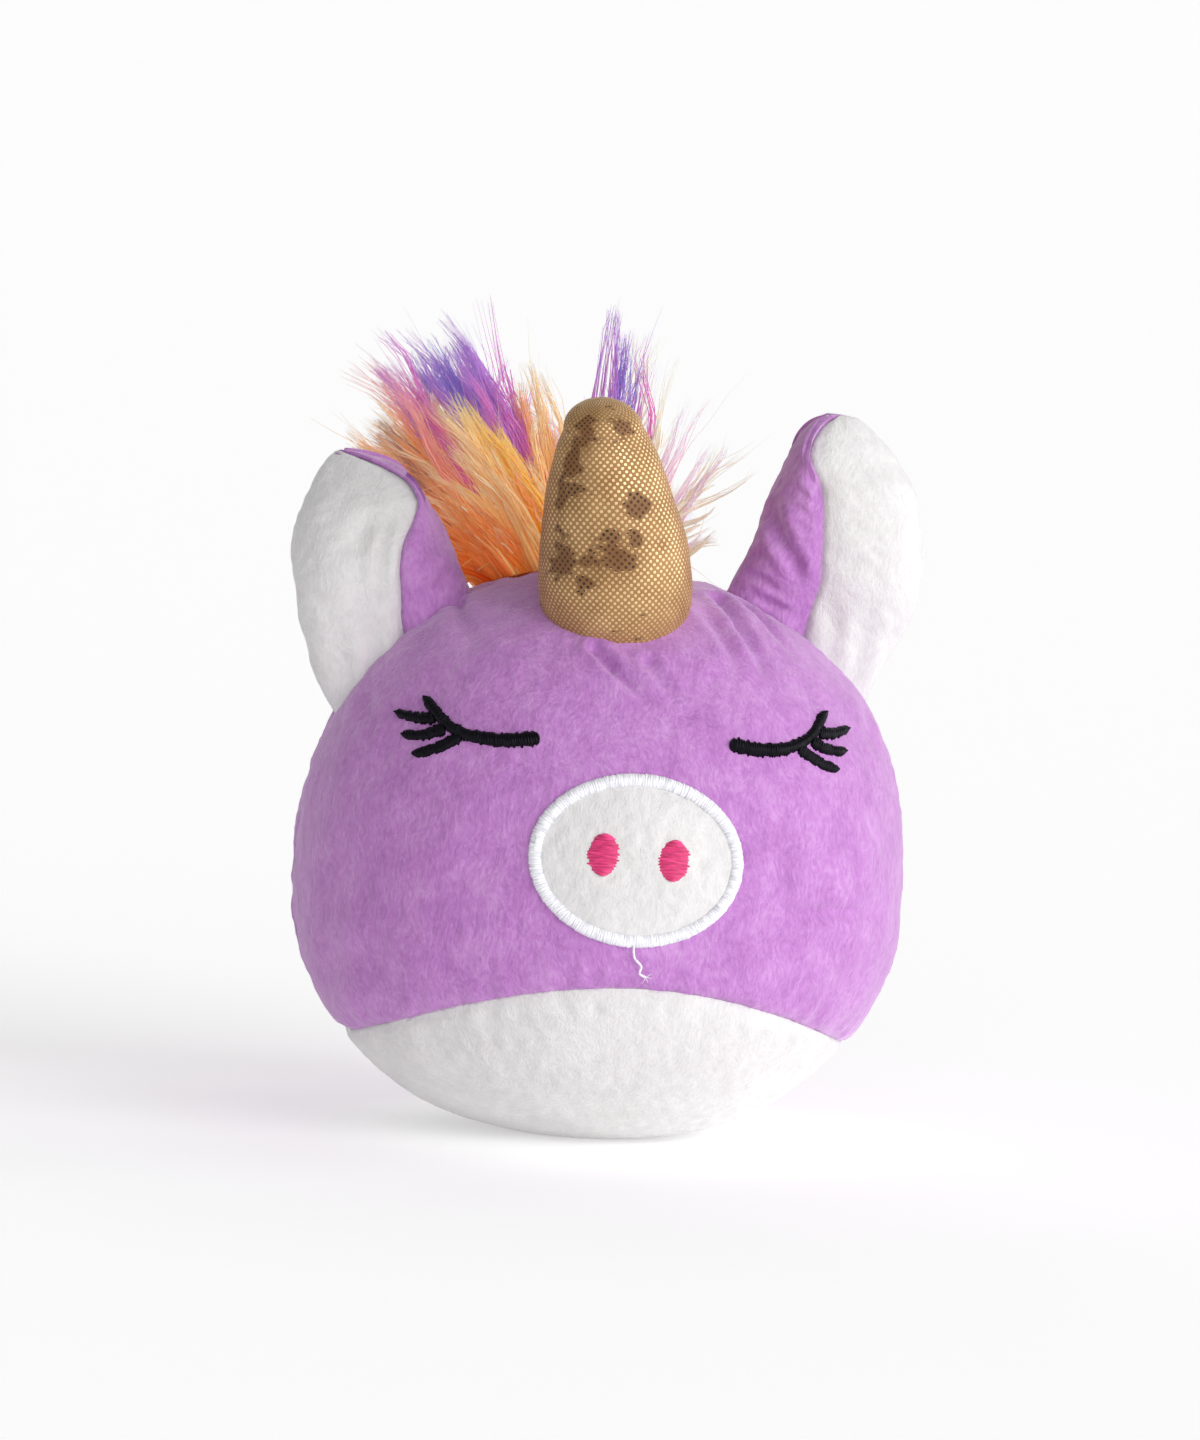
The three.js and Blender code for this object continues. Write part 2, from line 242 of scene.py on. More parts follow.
def foil_dot_knit():
    """Knit with foil printed in close dots. New foil is pale gold and mirrors softly, the cloth between is
    bronze, and where the cloth has creased the foil has rubbed off and left dark dots."""
    material, tree = blank("foil_dot_knit")
    flat = add(tree, "UVMap", uv_map="foil").outputs["UV"]
    lattice = None
    for turn in (45, 135):
        k = 2 * math.pi / (FOIL_PITCH * MM)
        across = (k * math.sin(math.radians(turn)), k * math.cos(math.radians(turn)), 0)
        phase = add(tree, "VectorMath", {0: flat, 1: across}, operation="DOT_PRODUCT")
        wave = add(tree, "Math", {0: phase.outputs["Value"]}, operation="COSINE").outputs[0]
        if lattice is None:
            lattice = wave
        else:
            lattice = add(tree, "Math", {0: lattice, 1: wave}, operation="ADD").outputs[0]
    dots = add(
        tree,
        "MapRange",
        {"Value": lattice, "From Min": 0.1, "From Max": 1.1},
        interpolation_type="SMOOTHSTEP",
    ).outputs[0]
    stretched = add(tree, "Mapping", {"Vector": flat, "Scale": (0.55, 1, 1)})
    rubbed = add(
        tree,
        "TexNoise",
        {"Vector": stretched.outputs[0], "Scale": per_metre(2.6), "Detail": 3.0, "Roughness": 0.6},
    )
    creased = add(tree, "Attribute", attribute_name="creased").outputs["Fac"]
    worn = add(
        tree, "Math", {0: rubbed.outputs["Fac"], 1: 1.6, 2: creased}, operation="MULTIPLY_ADD"
    ).outputs[0]
    worn = add(
        tree,
        "MapRange",
        {"Value": worn, "From Min": 1.02, "From Max": 1.1},
        interpolation_type="SMOOTHSTEP",
    ).outputs[0]
    tone = add(
        tree,
        "TexNoise",
        {"Vector": flat, "Scale": per_metre(8), "Detail": 4.0, "Roughness": 0.6},
    )
    cloth = ramp(tree, tone.outputs["Fac"], (0.3, "#8A6236"), (0.7, "#AE8250"))
    gold = ramp(tree, tone.outputs["Fac"], (0.3, "#CFAB76"), (0.7, "#E8D0A0"))
    dot = add(tree, "Mix", {"Factor": worn, 6: gold, 7: linear("#241004")}, data_type="RGBA")
    bare = add(tree, "Mix", {"Factor": worn, 6: cloth, 7: linear("#8A6338")}, data_type="RGBA")
    colour = add(
        tree, "Mix", {"Factor": dots, 6: bare.outputs[2], 7: dot.outputs[2]}, data_type="RGBA"
    )
    # each creased patch is darkened towards dark brown: partly real darkening around the rubbed foil, partly
    # painted shade in the creases
    stain_and_shade = add(
        tree,
        "Mix",
        {"Factor": creased, 6: colour.outputs[2], 7: linear("#6A3C14")},
        data_type="RGBA",
    )
    bright = add(
        tree, "Math", {0: 1.0, 1: worn}, operation="SUBTRACT", use_clamp=True
    ).outputs[0]
    foil = add(tree, "Math", {0: dots, 1: bright}, operation="MULTIPLY").outputs[0]
    metal = add(
        tree, "MapRange", {"Value": foil, "To Min": 0.1, "To Max": 0.8}
    ).outputs[0]
    rough = add(
        tree, "MapRange", {"Value": foil, "To Min": 0.65, "To Max": 0.4}
    ).outputs[0]
    raised = add(tree, "Bump", {"Height": dots, "Distance": 0.12 * MM, "Strength": 0.5})
    shader = add(
        tree,
        "BsdfPrincipled",
        {
            "Base Color": stain_and_shade.outputs[2],
            "Metallic": metal,
            "Roughness": rough,
            "Normal": raised.outputs[0],
        },
    )
    close(tree, shader)
    return material


def long_pile_fur():
    """Tie-dyed acrylic fur: soft gloss along each hair, and colour that changes from lock to lock. Each hair
    also glows weakly in its own dye colour. This painted glow stands in for the light that passes through
    thin hairs, so even the shaded ones look lit."""
    material, tree = blank("long_pile_fur")
    dye = add(tree, "Attribute", attribute_name="dye").outputs["Color"]
    shader = add(
        tree,
        "BsdfPrincipled",
        {
            "Base Color": dye,
            "Roughness": 0.55,
            "Specular IOR Level": 0.25,
            "Subsurface Weight": 0.5,
            "Subsurface Scale": 1 * MM,
            # painted light: a weak glow in each hair's own dye colour, so that shaded hairs look lit
            "Emission Color": dye,
            "Emission Strength": 0.15,
        },
    )
    close(tree, shader)
    return material


def plain_cloth(name, dark, light, grain_mm, roughness, bump_mm, sheen=0.2):
    """Cloth that is one colour but for its own grain: fur backing, stuffing, non-woven and ribbon."""
    material, tree = blank(name)
    cloth = add(tree, "Attribute", attribute_name="cloth").outputs["Vector"]
    grain = add(
        tree,
        "TexNoise",
        {"Vector": cloth, "Scale": per_metre(grain_mm), "Detail": 5.0, "Roughness": 0.65},
    )
    colour = ramp(tree, grain.outputs["Fac"], (0.35, dark), (0.65, light))
    bump = add(
        tree,
        "Bump",
        {"Height": grain.outputs["Fac"], "Distance": bump_mm * MM, "Strength": 0.6},
    )
    shader = add(
        tree,
        "BsdfPrincipled",
        {
            "Base Color": colour,
            "Roughness": roughness,
            "Sheen Weight": sheen,
            "Normal": bump.outputs[0],
        },
    )
    close(tree, shader)
    return material


LILAC = brushed_minky("lilac_minky", "#A065A9", "#BB80C3", "#CFA0D5", "#F6E6F8")
WHITE = brushed_minky("white_minky", "#CFCDCD", "#DCDADA", "#E6E4E4", "#FFFFFF")
WHITE_SATIN = satin_thread("white_satin_stitch", "#C9C8D2", "#FBFBFF")
PINK_SATIN = satin_thread("pink_satin_stitch", "#A8124E", "#EA3A82")
BLACK_SATIN = satin_thread("black_satin_stitch", "#020106", "#0C0A14", 0.42, 0.12, 0.0)
LILAC_THREAD = satin_thread("lilac_sewing_thread", "#7E4688", "#B57ABE")
GOLD = foil_dot_knit()
FUR = long_pile_fur()
FUR_BACKING = plain_cloth("fur_backing", "#B0481C", "#E0803C", 1.2, 0.9, 0.4)
STUFFING = plain_cloth("polyester_stuffing", "#DDDDD8", "#FAFAF5", 2.5, 1.0, 0.8)
NON_WOVEN = plain_cloth("non_woven_stabiliser", "#D2D2D2", "#EEEEEE", 0.8, 0.9, 0.1)
RIBBON = plain_cloth("satin_ribbon", "#EDEDED", "#FFFFFF", 0.4, 0.35, 0.05)


# ---- mesh helpers -------------------------------------------------------------------------


def piece(name, points, faces, material, cloth=None):
    """A smooth mesh object. cloth is each point's place on the cloth, where its pattern is fixed."""
    mesh = bpy.data.meshes.new(name)
    mesh.from_pydata(np.asarray(points, float).reshape(-1, 3).tolist(), [], faces)
    place = np.asarray(points if cloth is None else cloth, np.float32).reshape(-1)
    mesh.attributes.new("cloth", "FLOAT_VECTOR", "POINT").data.foreach_set("vector", place)
    mesh.shade_smooth()
    mesh.materials.append(material)
    made = bpy.data.objects.new(name, mesh)
    bpy.context.scene.collection.objects.link(made)
    return made


def thicken(made, thickness):
    """Gives a sheet its thickness, inwards from its outer face."""
    modifier = made.modifiers.new("thickness", "SOLIDIFY")
    modifier.thickness = thickness
    modifier.offset = -1
    modifier.use_even_offset = False
    depsgraph = bpy.context.evaluated_depsgraph_get()
    mesh = bpy.data.meshes.new_from_object(made.evaluated_get(depsgraph))
    made.modifiers.clear()
    made.data = mesh
    return made


def ring_faces(rings, around, closed=True, looped=False, capped=True):
    """Faces between rings of points. closed joins each ring's ends, and looped joins the last ring to the
    first. capped closes both ends."""
    columns = around if closed else around - 1
    rows = rings if looped else rings - 1
    faces = []
    for i in range(rows):
        low, high = i * around, (i + 1) % rings * around
        for j in range(columns):
            k = (j + 1) % around
            faces.append((low + j, low + k, high + k, high + j))
    if capped and not looped:
        faces.append(tuple(range(around - 1, -1, -1)))
        faces.append(tuple(range((rings - 1) * around, rings * around)))
    return faces


def curve(points, count):
    """A smooth line through a few points, as that many points evenly along it."""
    points = np.asarray(points, float)
    ends = [2 * points[0] - points[1], *points, 2 * points[-1] - points[-2]]
    fine = []
    for a, b, c, d in zip(ends, ends[1:], ends[2:], ends[3:]):
        for t in np.linspace(0, 1, 12, endpoint=False):
            fine.append(
                b
                + (c - a) * t / 2
                + (a - 2.5 * b + 2 * c - d / 2) * t**2
                + (1.5 * (b - c) + (d - a) / 2) * t**3
            )
    fine = np.array([*fine, points[-1]])
    run = np.concatenate([[0], np.cumsum(np.linalg.norm(np.diff(fine, axis=0), axis=1))])
    wanted = np.linspace(0, run[-1], count)
    return np.stack([np.interp(wanted, run, fine[:, i]) for i in range(fine.shape[1])], axis=1)


def outline(stops):
    """A smooth outline through (height, size) stops, in mm, as a function of height."""
    heights, sizes = curve(stops, 200).T
    return lambda at: np.interp(at, heights, sizes)


def unit(vectors):
    """The vectors at length 1."""
    return vectors / np.maximum(np.linalg.norm(vectors, axis=-1, keepdims=True), 1e-12)


def bell(distance, width):
    """1 at no distance, falling smoothly to nothing past the width."""
    return np.exp(-((distance / width) ** 2))


def lumps(points, size_mm, seed, count=10):
    """Smooth unevenness of about that size, mostly between -1 and 1."""
    rng = np.random.default_rng(seed)
    ways = unit(rng.normal(size=(count, 3))) * 2 * math.pi / (size_mm * MM)
    return np.sin(points @ ways.T + rng.uniform(0, 2 * math.pi, count)).sum(-1) / math.sqrt(count)


def fold(points, line, width_mm, depth_mm, from_seam=False):
    """A crease along a line of points in mm, with a soft ridge beside it. It fades out at both
    ends, or only at its far end where it starts in a seam."""
    path = curve(np.array(line, float) * MM, 40)
    gaps = np.linalg.norm(points[:, None, :] - path[None], axis=2)
    along = gaps.argmin(1) / (len(path) - 1)
    near = gaps.min(1)
    fade = np.cos(along * math.pi / 2) if from_seam else np.sin(along * math.pi)
    width = width_mm * MM
    shape = bell(near, width) - 0.4 * bell(near - 2 * width, width)
    return -depth_mm * MM * shape * fade**0.7


# ---- the body -----------------------------------------------------------------------------

FACE_LOW, FACE_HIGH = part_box("face_panel")
HALF_WIDTH = (FACE_HIGH.x - FACE_LOW.x) / 2
HALF_DEPTH = -FACE_LOW.y
TOP = FACE_HIGH.z
WIDEST = 44 * MM  # height where the body is widest
SINK = 1 * MM  # the base is flattened by this much
POWER = 2.25  # 2 would be an ellipse, and more is squarer
SEAM_SIDE = 15.3 * MM
SEAM_FRONT = 29.6 * MM
SEAM_ARCH = 46 * MM
FACE_SEAM_Y = 2 * MM
PLUSH = 1.6 * MM


def reach_of(rise):
    """The body's half-height above or below its widest level."""
    return np.where(rise > 0, TOP - WIDEST, WIDEST + SINK)


def level(points):
    """1 on the body's smooth form, less inside and more outside."""
    x, y, rise = points[..., 0], points[..., 1], points[..., 2] - WIDEST
    across = np.hypot(x / HALF_WIDTH, y / HALF_DEPTH)
    return (across**POWER + (np.abs(rise) / reach_of(rise)) ** POWER) ** (1 / POWER)


def outward(points):
    """Directions straight out of the smooth form."""
    x, y, rise = points[:, 0], points[:, 1], points[:, 2] - WIDEST
    across = np.maximum(np.hypot(x / HALF_WIDTH, y / HALF_DEPTH), 1e-6) ** (POWER - 2)
    up = np.sign(rise) * np.abs(rise) ** (POWER - 1) / reach_of(rise) ** POWER
    return unit(np.stack([across * x / HALF_WIDTH**2, across * y / HALF_DEPTH**2, up], axis=1))


def seam_height(x, y):
    """Height of the belly seam, which arches up over the front."""
    arch = np.maximum(1 - (x / SEAM_ARCH) ** 2, 0)
    front = np.clip((FACE_SEAM_Y - y) / (9 * MM), 0, 1)
    return SEAM_SIDE + (SEAM_FRONT - SEAM_SIDE) * arch * front * front * (3 - 2 * front)


BODY_FOLDS = [
    # the pulled fold that runs down from the horn
    dict(line=[(-6.5, -32, 86), (-5.5, -33, 85), (-2.5, -36, 82), (2.7, -39.5, 77.7)],
         width_mm=1, depth_mm=1.5, from_seam=True),
    dict(line=[(2.5, -34, 84.5), (4.8, -36, 81.5), (7.5, -38, 78)],
         width_mm=1, depth_mm=0.8, from_seam=True),
    # gathers that fan out from the roots of the ears
    dict(line=[(13, -19, 92), (16, -26, 87.7), (18.3, -31, 83)], width_mm=1.3, depth_mm=0.8),
    dict(line=[(16.5, -12.5, 93.4), (20.7, -23.4, 87.6), (23.7, -29.6, 81.4)],
         width_mm=1.3, depth_mm=1.5, from_seam=True),
    dict(line=[(21, -9, 92.6), (25.9, -15.6, 88.8), (30, -20, 84.4)],
         width_mm=1.2, depth_mm=1.2, from_seam=True),
    dict(line=[(-27, -7, 90.5), (-27, -16, 87.6), (-25.5, -24, 84)],
         width_mm=1.4, depth_mm=1, from_seam=True),
    dict(line=[(-42, -7, 77), (-42.5, -14, 73.5), (-41.5, -21, 70)], width_mm=1.7, depth_mm=0.6),
    dict(line=[(43, -8, 76.6), (43.5, -14, 73), (43, -20, 69.5)], width_mm=1.7, depth_mm=0.6),
    # the crease and the dimple in the left cheek
    dict(line=[(24.8, -42.8, 43.7), (31, -39.5, 43), (38.5, -33, 42.6), (46, -23, 41.4)],
         width_mm=1.3, depth_mm=0.9),
    dict(line=[(24, -42.6, 53.5), (26, -42, 50), (28, -41.2, 47.6)], width_mm=2.6, depth_mm=0.9),
    # slack above the belly seam
    dict(line=[(-47, -10, 27), (-44, -20, 30), (-38, -29, 31)], width_mm=3, depth_mm=0.7),
]
BODY_SWELLS = [
    # place, width and height in mm where the stuffing pushes out more, or less
    ((-42, -12, 20), 12, 1.1),
    ((40, -6, 10), 12, -0.9),
    ((-50, -5, 50), 16, -0.5),
]


def body_relief(points):
    """How far the stuffed cloth stands out from the smooth form."""
    x, y, z = points.T
    relief = 0.35 * MM * lumps(points, 34, 1) + 0.14 * MM * lumps(points, 13, 2) - 0.2 * MM
    for place, width, height in BODY_SWELLS:
        relief += height * MM * bell(np.linalg.norm(points - np.array(place) * MM, axis=1), width * MM)
    relief += 0.07 * MM * lumps(points, 3.4, 3, 24) + 0.05 * MM * lumps(points, 1.9, 4, 30)
    belly = z - seam_height(x, y)
    face = np.where(belly > 0, y - FACE_SEAM_Y, 1)
    back = np.where((belly > 0) & (y > FACE_SEAM_Y), x, 1)
    run = np.arctan2(y, x)
    for gap, along in ((belly, run * HALF_WIDTH), (face, np.arctan2(z - WIDEST, x) * HALF_WIDTH), (back, z)):
        near = np.abs(gap)
        gathers = np.sin(along / (1.15 * MM)) + 0.7 * np.sin(along / (0.81 * MM) + 2)
        relief -= 0.7 * MM * bell(near, 0.9 * MM) + 0.25 * MM * bell(near, 3 * MM)
        relief += 0.12 * MM * gathers * bell(near - 2.6 * MM, 2.2 * MM)
    for crease in BODY_FOLDS:
        relief += fold(points, **crease)
    settled = np.clip(z / (4 * MM), 0, 1)
    return relief * settled


def make_ball(cuts):
    """A ball of even quads, as points on the unit sphere."""
    ball = bmesh.new()
    bmesh.ops.create_cube(ball, size=2)
    bmesh.ops.subdivide_edges(ball, edges=ball.edges, cuts=cuts, use_grid_fill=True)
    for vertex in ball.verts:
        even = Vector([math.tan(c * math.pi / 4) for c in vertex.co])
        vertex.co = even.normalized()
    return ball


def form_of(ball, inset=0.0):
    """Moves a ball's points onto the body's smooth form."""
    ways = np.array([vertex.co for vertex in ball.verts])
    reach = reach_of(ways[:, 2])
    across = np.hypot(ways[:, 0] / HALF_WIDTH, ways[:, 1] / HALF_DEPTH)
    size = (across**POWER + (np.abs(ways[:, 2]) / reach) ** POWER) ** (-1 / POWER)
    points = ways * size[:, None] * (1 - inset / HALF_DEPTH)
    points[:, 2] = np.maximum(points[:, 2] + WIDEST, inset)
    return points


def cut_panel(ball, *cuts):
    """Keeps the part of a ball on one side of each seam. A cut is the seam's name and the side that
    stays."""
    kept = ball.copy()
    for seam, side in cuts:
        normal = {"belly": (0, 0, side), "face": (0, side, 0), "back": (side, 0, 0)}[seam]
        origin = (0, FACE_SEAM_Y, 0) if seam == "face" else (0, 0, 0)
        if seam == "belly":
            for vertex in kept.verts:
                vertex.co.z -= float(seam_height(vertex.co.x, vertex.co.y))
        bmesh.ops.bisect_plane(
            kept,
            geom=[*kept.verts, *kept.edges, *kept.faces],
            dist=1e-6,
            plane_co=origin,
            plane_no=normal,
            clear_inner=True,
        )
        if seam == "belly":
            for vertex in kept.verts:
                vertex.co.z += float(seam_height(vertex.co.x, vertex.co.y))
    return kept


def arrays_of(mesh):
    """A bmesh's points and faces."""
    mesh.verts.ensure_lookup_table()
    mesh.verts.index_update()
    points = np.array([vertex.co for vertex in mesh.verts])
    faces = [tuple(vertex.index for vertex in face.verts) for face in mesh.faces]
    return points, faces


def make_body():
    ball = make_ball(103)
    for vertex, place in zip(ball.verts, form_of(ball)):
        vertex.co = place
    panels = {
        "belly_panel": ([("belly", -1)], WHITE, "plush_white"),
        "face_panel": ([("belly", 1), ("face", -1)], LILAC, "plush_lilac"),
        "back_panel_left": ([("belly", 1), ("face", 1), ("back", 1)], LILAC, "plush_lilac"),
        "back_panel_right": ([("belly", 1), ("face", 1), ("back", -1)], LILAC, "plush_lilac"),
    }
    skins = {}
    for node, (cuts, material, slot) in panels.items():
        smooth, faces = arrays_of(cut_panel(ball, *cuts))
        shaped = smooth + outward(smooth) * body_relief(smooth)[:, None]
        skins[node] = BVHTree.FromPolygons(shaped.tolist(), faces)
        made = thicken(piece(node + "_skin", shaped, faces, material, smooth), PLUSH)
        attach(made, "body")
        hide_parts(node)
    core = make_ball(27)
    smooth, faces = form_of(core, 4.5 * MM), arrays_of(core)[1]
    lumpy = smooth + unit(smooth - (0, 0, WIDEST)) * (0.5 * MM * lumps(smooth, 11, 5))[:, None]
    made = piece("body_stuffing", lumpy, faces, STUFFING)
    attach(made, "body")
    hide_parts("body_filling")
    return skins


# ---- embroidery ---------------------------------------------------------------------------

STITCH_PITCH = 0.42  # mm from stitch to stitch
SAMPLES_PER_STITCH = 4


def on_skin(skin, x, z, lift, side=-1):
    """The point that far over the cloth at a place of the front view, or of the rear view for side 1."""
    hit, normal, _, _ = skin.ray_cast(Vector((x, side * 0.2, z)), Vector((0, -side, 0)))
    if normal.y * side < 0:
        normal = -normal
    return hit + normal * lift


def satin_band(
    skin, line, half_widths, height_mm, seed, looped=False, pitch_mm=STITCH_PITCH, ridges=0.14, ragged=0.2
):
    """A band of satin stitches laid across a line of the front view. Returns its points, faces and cloth.
    ridges is how far the cloth sinks between stitches, and ragged how uneven their ends are."""
    rng = np.random.default_rng(seed)
    count = len(line)
    steps = np.gradient(line, axis=0)
    if looped:
        steps = np.roll(line, -1, axis=0) - np.roll(line, 1, axis=0)
    across = unit(np.stack([-steps[:, 1], steps[:, 0]], axis=1))
    run = np.concatenate([[0], np.cumsum(np.linalg.norm(np.diff(line, axis=0), axis=1))])
    stitch = run / (pitch_mm * MM)
    overrun = rng.uniform(-0.4 * ragged, ragged, (int(stitch[-1]) + 2, 2))
    ridge = np.abs(np.sin(math.pi * stitch))
    points, cloth = [], []
    for i in range(count):
        for s in np.linspace(-1, 1, 9):
            loose = 1 + overrun[int(stitch[i]), 0 if s < 0 else 1] * abs(s) * (0.4 + 0.6 * ridge[i])
            offset = s * half_widths[i] * loose
            x, z = line[i] + across[i] * offset
            dome = math.sqrt(max(1 - s * s, 0))
            lift = height_mm * MM * dome * (1 - ridges + ridges * ridge[i]) - 0.12 * MM * abs(s)
            points.append(on_skin(skin, x, z, lift))
            cloth.append((run[i], offset, 0))
    return np.array(points), ring_faces(count, 9, looped=looped), np.array(cloth)


def joined(parts):
    """Several (points, faces, cloth) as one."""
    points, faces, cloth, start = [], [], [], 0
    for p, f, c in parts:
        points.append(p)
        cloth.append(c)
        faces += [tuple(start + i for i in face) for face in f]
        start += len(p)
    return np.concatenate(points), faces, np.concatenate(cloth)


def stroke(skin, points, width_mm, height_mm, seed, start_width=1.0, end_width=1.0):
    """A round-ended satin stroke through a few [x, z] points in mm."""
    rough = np.array(points, float) * MM
    length = np.linalg.norm(np.diff(rough, axis=0), axis=1).sum()
    line = curve(rough, int(length / (STITCH_PITCH * MM) * SAMPLES_PER_STITCH))
    t = np.linspace(0, 1, len(line))
    half = width_mm * MM / 2
    taper = start_width + (end_width - start_width) * t
    from_end = np.minimum(t, 1 - t) * length
    rounding = np.sqrt(np.clip(1 - (1 - np.clip(from_end / (half * 0.8), 0, 1)) ** 2, 0.02, 1))
    return satin_band(skin, line, half * taper * rounding, height_mm, seed, ridges=0.3, ragged=0.34)


EYE_LID = [(16, 71), (22, 70.1), (27.5, 70.5), (31.2, 72.3), (33.9, 75.7)]
EYE_LASHES = [
    [(32.4, 72.6), (35.3, 72.3), (38.5, 72.7)],
    [(31, 71.3), (34.2, 69.8), (37.6, 69.3)],
    [(28.6, 70.2), (32.4, 67.9), (36, 66.4)],
]


def make_eyes(skin):
    for name, side in (("left", 1), ("right", -1)):
        strokes = [EYE_LID, *EYE_LASHES]
        parts = []
        for i, line in enumerate(strokes):
            mirrored = [(side * x, z) for x, z in line]
            width = 2.5 if i == 0 else 2.0
            parts.append(
                stroke(skin, mirrored, width, 1.0 - 0.1 * i, 20 + i, end_width=0.72 if i else 0.7)
            )
        points, faces, cloth = joined(parts)
        made = piece(f"eye_{name}_stitch", points, faces, BLACK_SATIN, cloth)
        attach(made, "body")
        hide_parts("eye_" + name)


SNOUT = dict(x=0.6, z=51.5, half_width=18.2, half_height=14.5, border=2.3, tilt=3)
NOSTRIL = dict(spread=5.9, rise=0.7, half_width=3, half_height=3.5)


def snout_line(shrink_mm, count):
    """The snout's outline, or one inside it, as [x, z] points."""
    angle = np.linspace(0, 2 * math.pi, count, endpoint=False)
    across = (SNOUT["half_width"] - shrink_mm) * MM * np.cos(angle)
    up = (SNOUT["half_height"] - shrink_mm) * MM * np.sin(angle)
    turn = math.radians(-SNOUT["tilt"])
    x = SNOUT["x"] * MM + across * math.cos(turn) - up * math.sin(turn)
    z = SNOUT["z"] * MM + across * math.sin(turn) + up * math.cos(turn)
    return np.stack([x, z], axis=1)


def make_snout(skin):
    rings, around = ((30, 160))
    edge = snout_line(SNOUT["border"] * 0.5, around)
    centre = edge.mean(0)
    top, under = [], []
    for i in range(rings):
        share = 1 - i / rings
        crown = 1.25 * MM * (1 - share**2.4) ** 0.8 - 0.1 * MM
        for x, z in centre + (edge - centre) * share:
            top.append(on_skin(skin, x, z, crown))
    for x, z in edge:
        under.append(on_skin(skin, x, z, -0.5 * MM))
    points = np.array([*under, *top])
    faces = ring_faces(rings + 1, around)
    smooth = points.copy()
    fine = 0.06 * MM * lumps(points, 2.2, 31, 24)
    points[around:, 1] -= fine[around:]
    patch = piece("snout_patch_skin", points, faces, WHITE, smooth)
    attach(patch, "body")
    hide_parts("snout_patch")

    line = snout_line(SNOUT["border"] / 2, 980)
    half = np.full(len(line), SNOUT["border"] / 2 * MM)
    points, faces, cloth = satin_band(skin, line, half, 1.05, 40, looped=True, ragged=0.12)
    border = piece("snout_border_stitch", points, faces, WHITE_SATIN, cloth)
    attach(border, "body")
    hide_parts("snout_border")

    turn = math.radians(-SNOUT["tilt"])
    for name, side in (("left", 1), ("right", -1)):
        x = (SNOUT["x"] + side * NOSTRIL["spread"] * math.cos(turn)) * MM
        z = (SNOUT["z"] + NOSTRIL["rise"] + side * NOSTRIL["spread"] * math.sin(turn)) * MM
        t = np.linspace(-1, 1, 80)
        rise = t * NOSTRIL["half_height"] * MM
        line = np.stack([x - rise * math.sin(turn), z + rise * math.cos(turn)], axis=1)
        half = NOSTRIL["half_width"] * MM * np.sqrt(np.clip(1 - t * t, 0.03, 1))
        points, faces, cloth = satin_band(skin, line, half, 0.9, 50 + side, pitch_mm=0.5, ridges=0.3)
        points[:, 1] -= 0.75 * MM
        made = piece(f"nostril_{name}_stitch", points, faces, PINK_SATIN, cloth)
        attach(made, "body")
        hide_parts("nostril_" + name)


# ---- threads ------------------------------------------------------------------------------


def thread(line, radius, around=6, taper=1.0):
    """A round thread along points in metres. Returns its points, faces and cloth."""
    steps = unit(np.gradient(line, axis=0))
    side = unit(np.cross(steps, (0.13, 0.31, 0.94)))
    up = np.cross(steps, side)
    angle = np.linspace(0, 2 * math.pi, around, endpoint=False)
    size = radius * (1 - (1 - taper) * np.linspace(0, 1, len(line)))[:, None, None]
    ring = np.cos(angle)[None, :, None] * side[:, None] + np.sin(angle)[None, :, None] * up[:, None]
    points = (line[:, None] + ring * size).reshape(-1, 3)
    run = np.linspace(0, 1, len(line)) * np.linalg.norm(np.diff(line, axis=0), axis=1).sum()
    cloth = np.stack([np.repeat(run, around), np.tile(angle * radius, len(line)), points[:, 0] * 0], axis=1)
    return points, ring_faces(len(line), around), cloth


def make_threads(skins):
    low, high = (corner.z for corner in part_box("closing_stitch"))
    skin_of = {1: skins["back_panel_left"], -1: skins["back_panel_right"]}
    zigzag = []
    for i in range(10):
        side = 1 if i % 2 else -1
        z = low + (high - low) * i / 9
        zigzag.append(on_skin(skin_of[side], side * 1.6 * MM, z, 0.15 * MM, 1))
    line = curve(zigzag, 150)
    made = piece("ladder_stitch", *thread(line, 0.3 * MM)[:2], LILAC_THREAD)
    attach(made, "body")
    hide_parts("closing_stitch")

    front = skins["face_panel"]
    tail = [(0.5, 38.2), (0.4, 36.8), (0.8, 35.4), (1.9, 34.2), (1.6, 33), (2.8, 32.4)]
    lifts = [0.5, 0.9, 0.8, 0.8, 0.9, 1]
    line = np.array([on_skin(front, x * MM, z * MM, lift * MM) for (x, z), lift in zip(tail, lifts)])
    parts = [thread(curve(line, 30), 0.2 * MM)]
    frays = [(3.8, 32.5, 1.3), (3.3, 31.6, 1.1), (2.4, 31.4, 0.9), (3.6, 33.1, 1)]
    for x, z, lift in frays:
        tip = on_skin(front, x * MM, z * MM, lift * MM)
        parts.append(thread(curve([line[-2], line[-1], tip], 8), 0.11 * MM, 5, 0.4))
    points, faces, cloth = joined(parts)
    made = piece("snout_loose_thread", points, faces, WHITE_SATIN, cloth)
    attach(made, "body")
    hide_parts("snout_thread_end")


# ---- horn and ears ------------------------------------------------------------------------


def grown(place, shape, count, around, sink):
    """Rings of a stuffed form that grows out of the body, from a little under its skin to its tip.
    shape gives a point in mm for a height share and an angle, and place turns it into metres."""
    angles = np.linspace(0, 2 * math.pi, around, endpoint=False)
    trial = np.linspace(0, 1, 90)
    rings = []
    starts = []
    for angle in angles:
        column = place(shape(trial, angle))
        inside = np.where(level(column) < 1 - sink / HALF_DEPTH)[0]
        starts.append(trial[inside[-1]] if len(inside) else 0)
    starts = np.array(starts)
    for i in range(count):
        share = (i / count) ** 0.9
        rings.append(
            np.stack([place(shape(s + (1 - s) * share, a)) for s, a in zip(starts, angles)])
        )
    return np.array(rings)


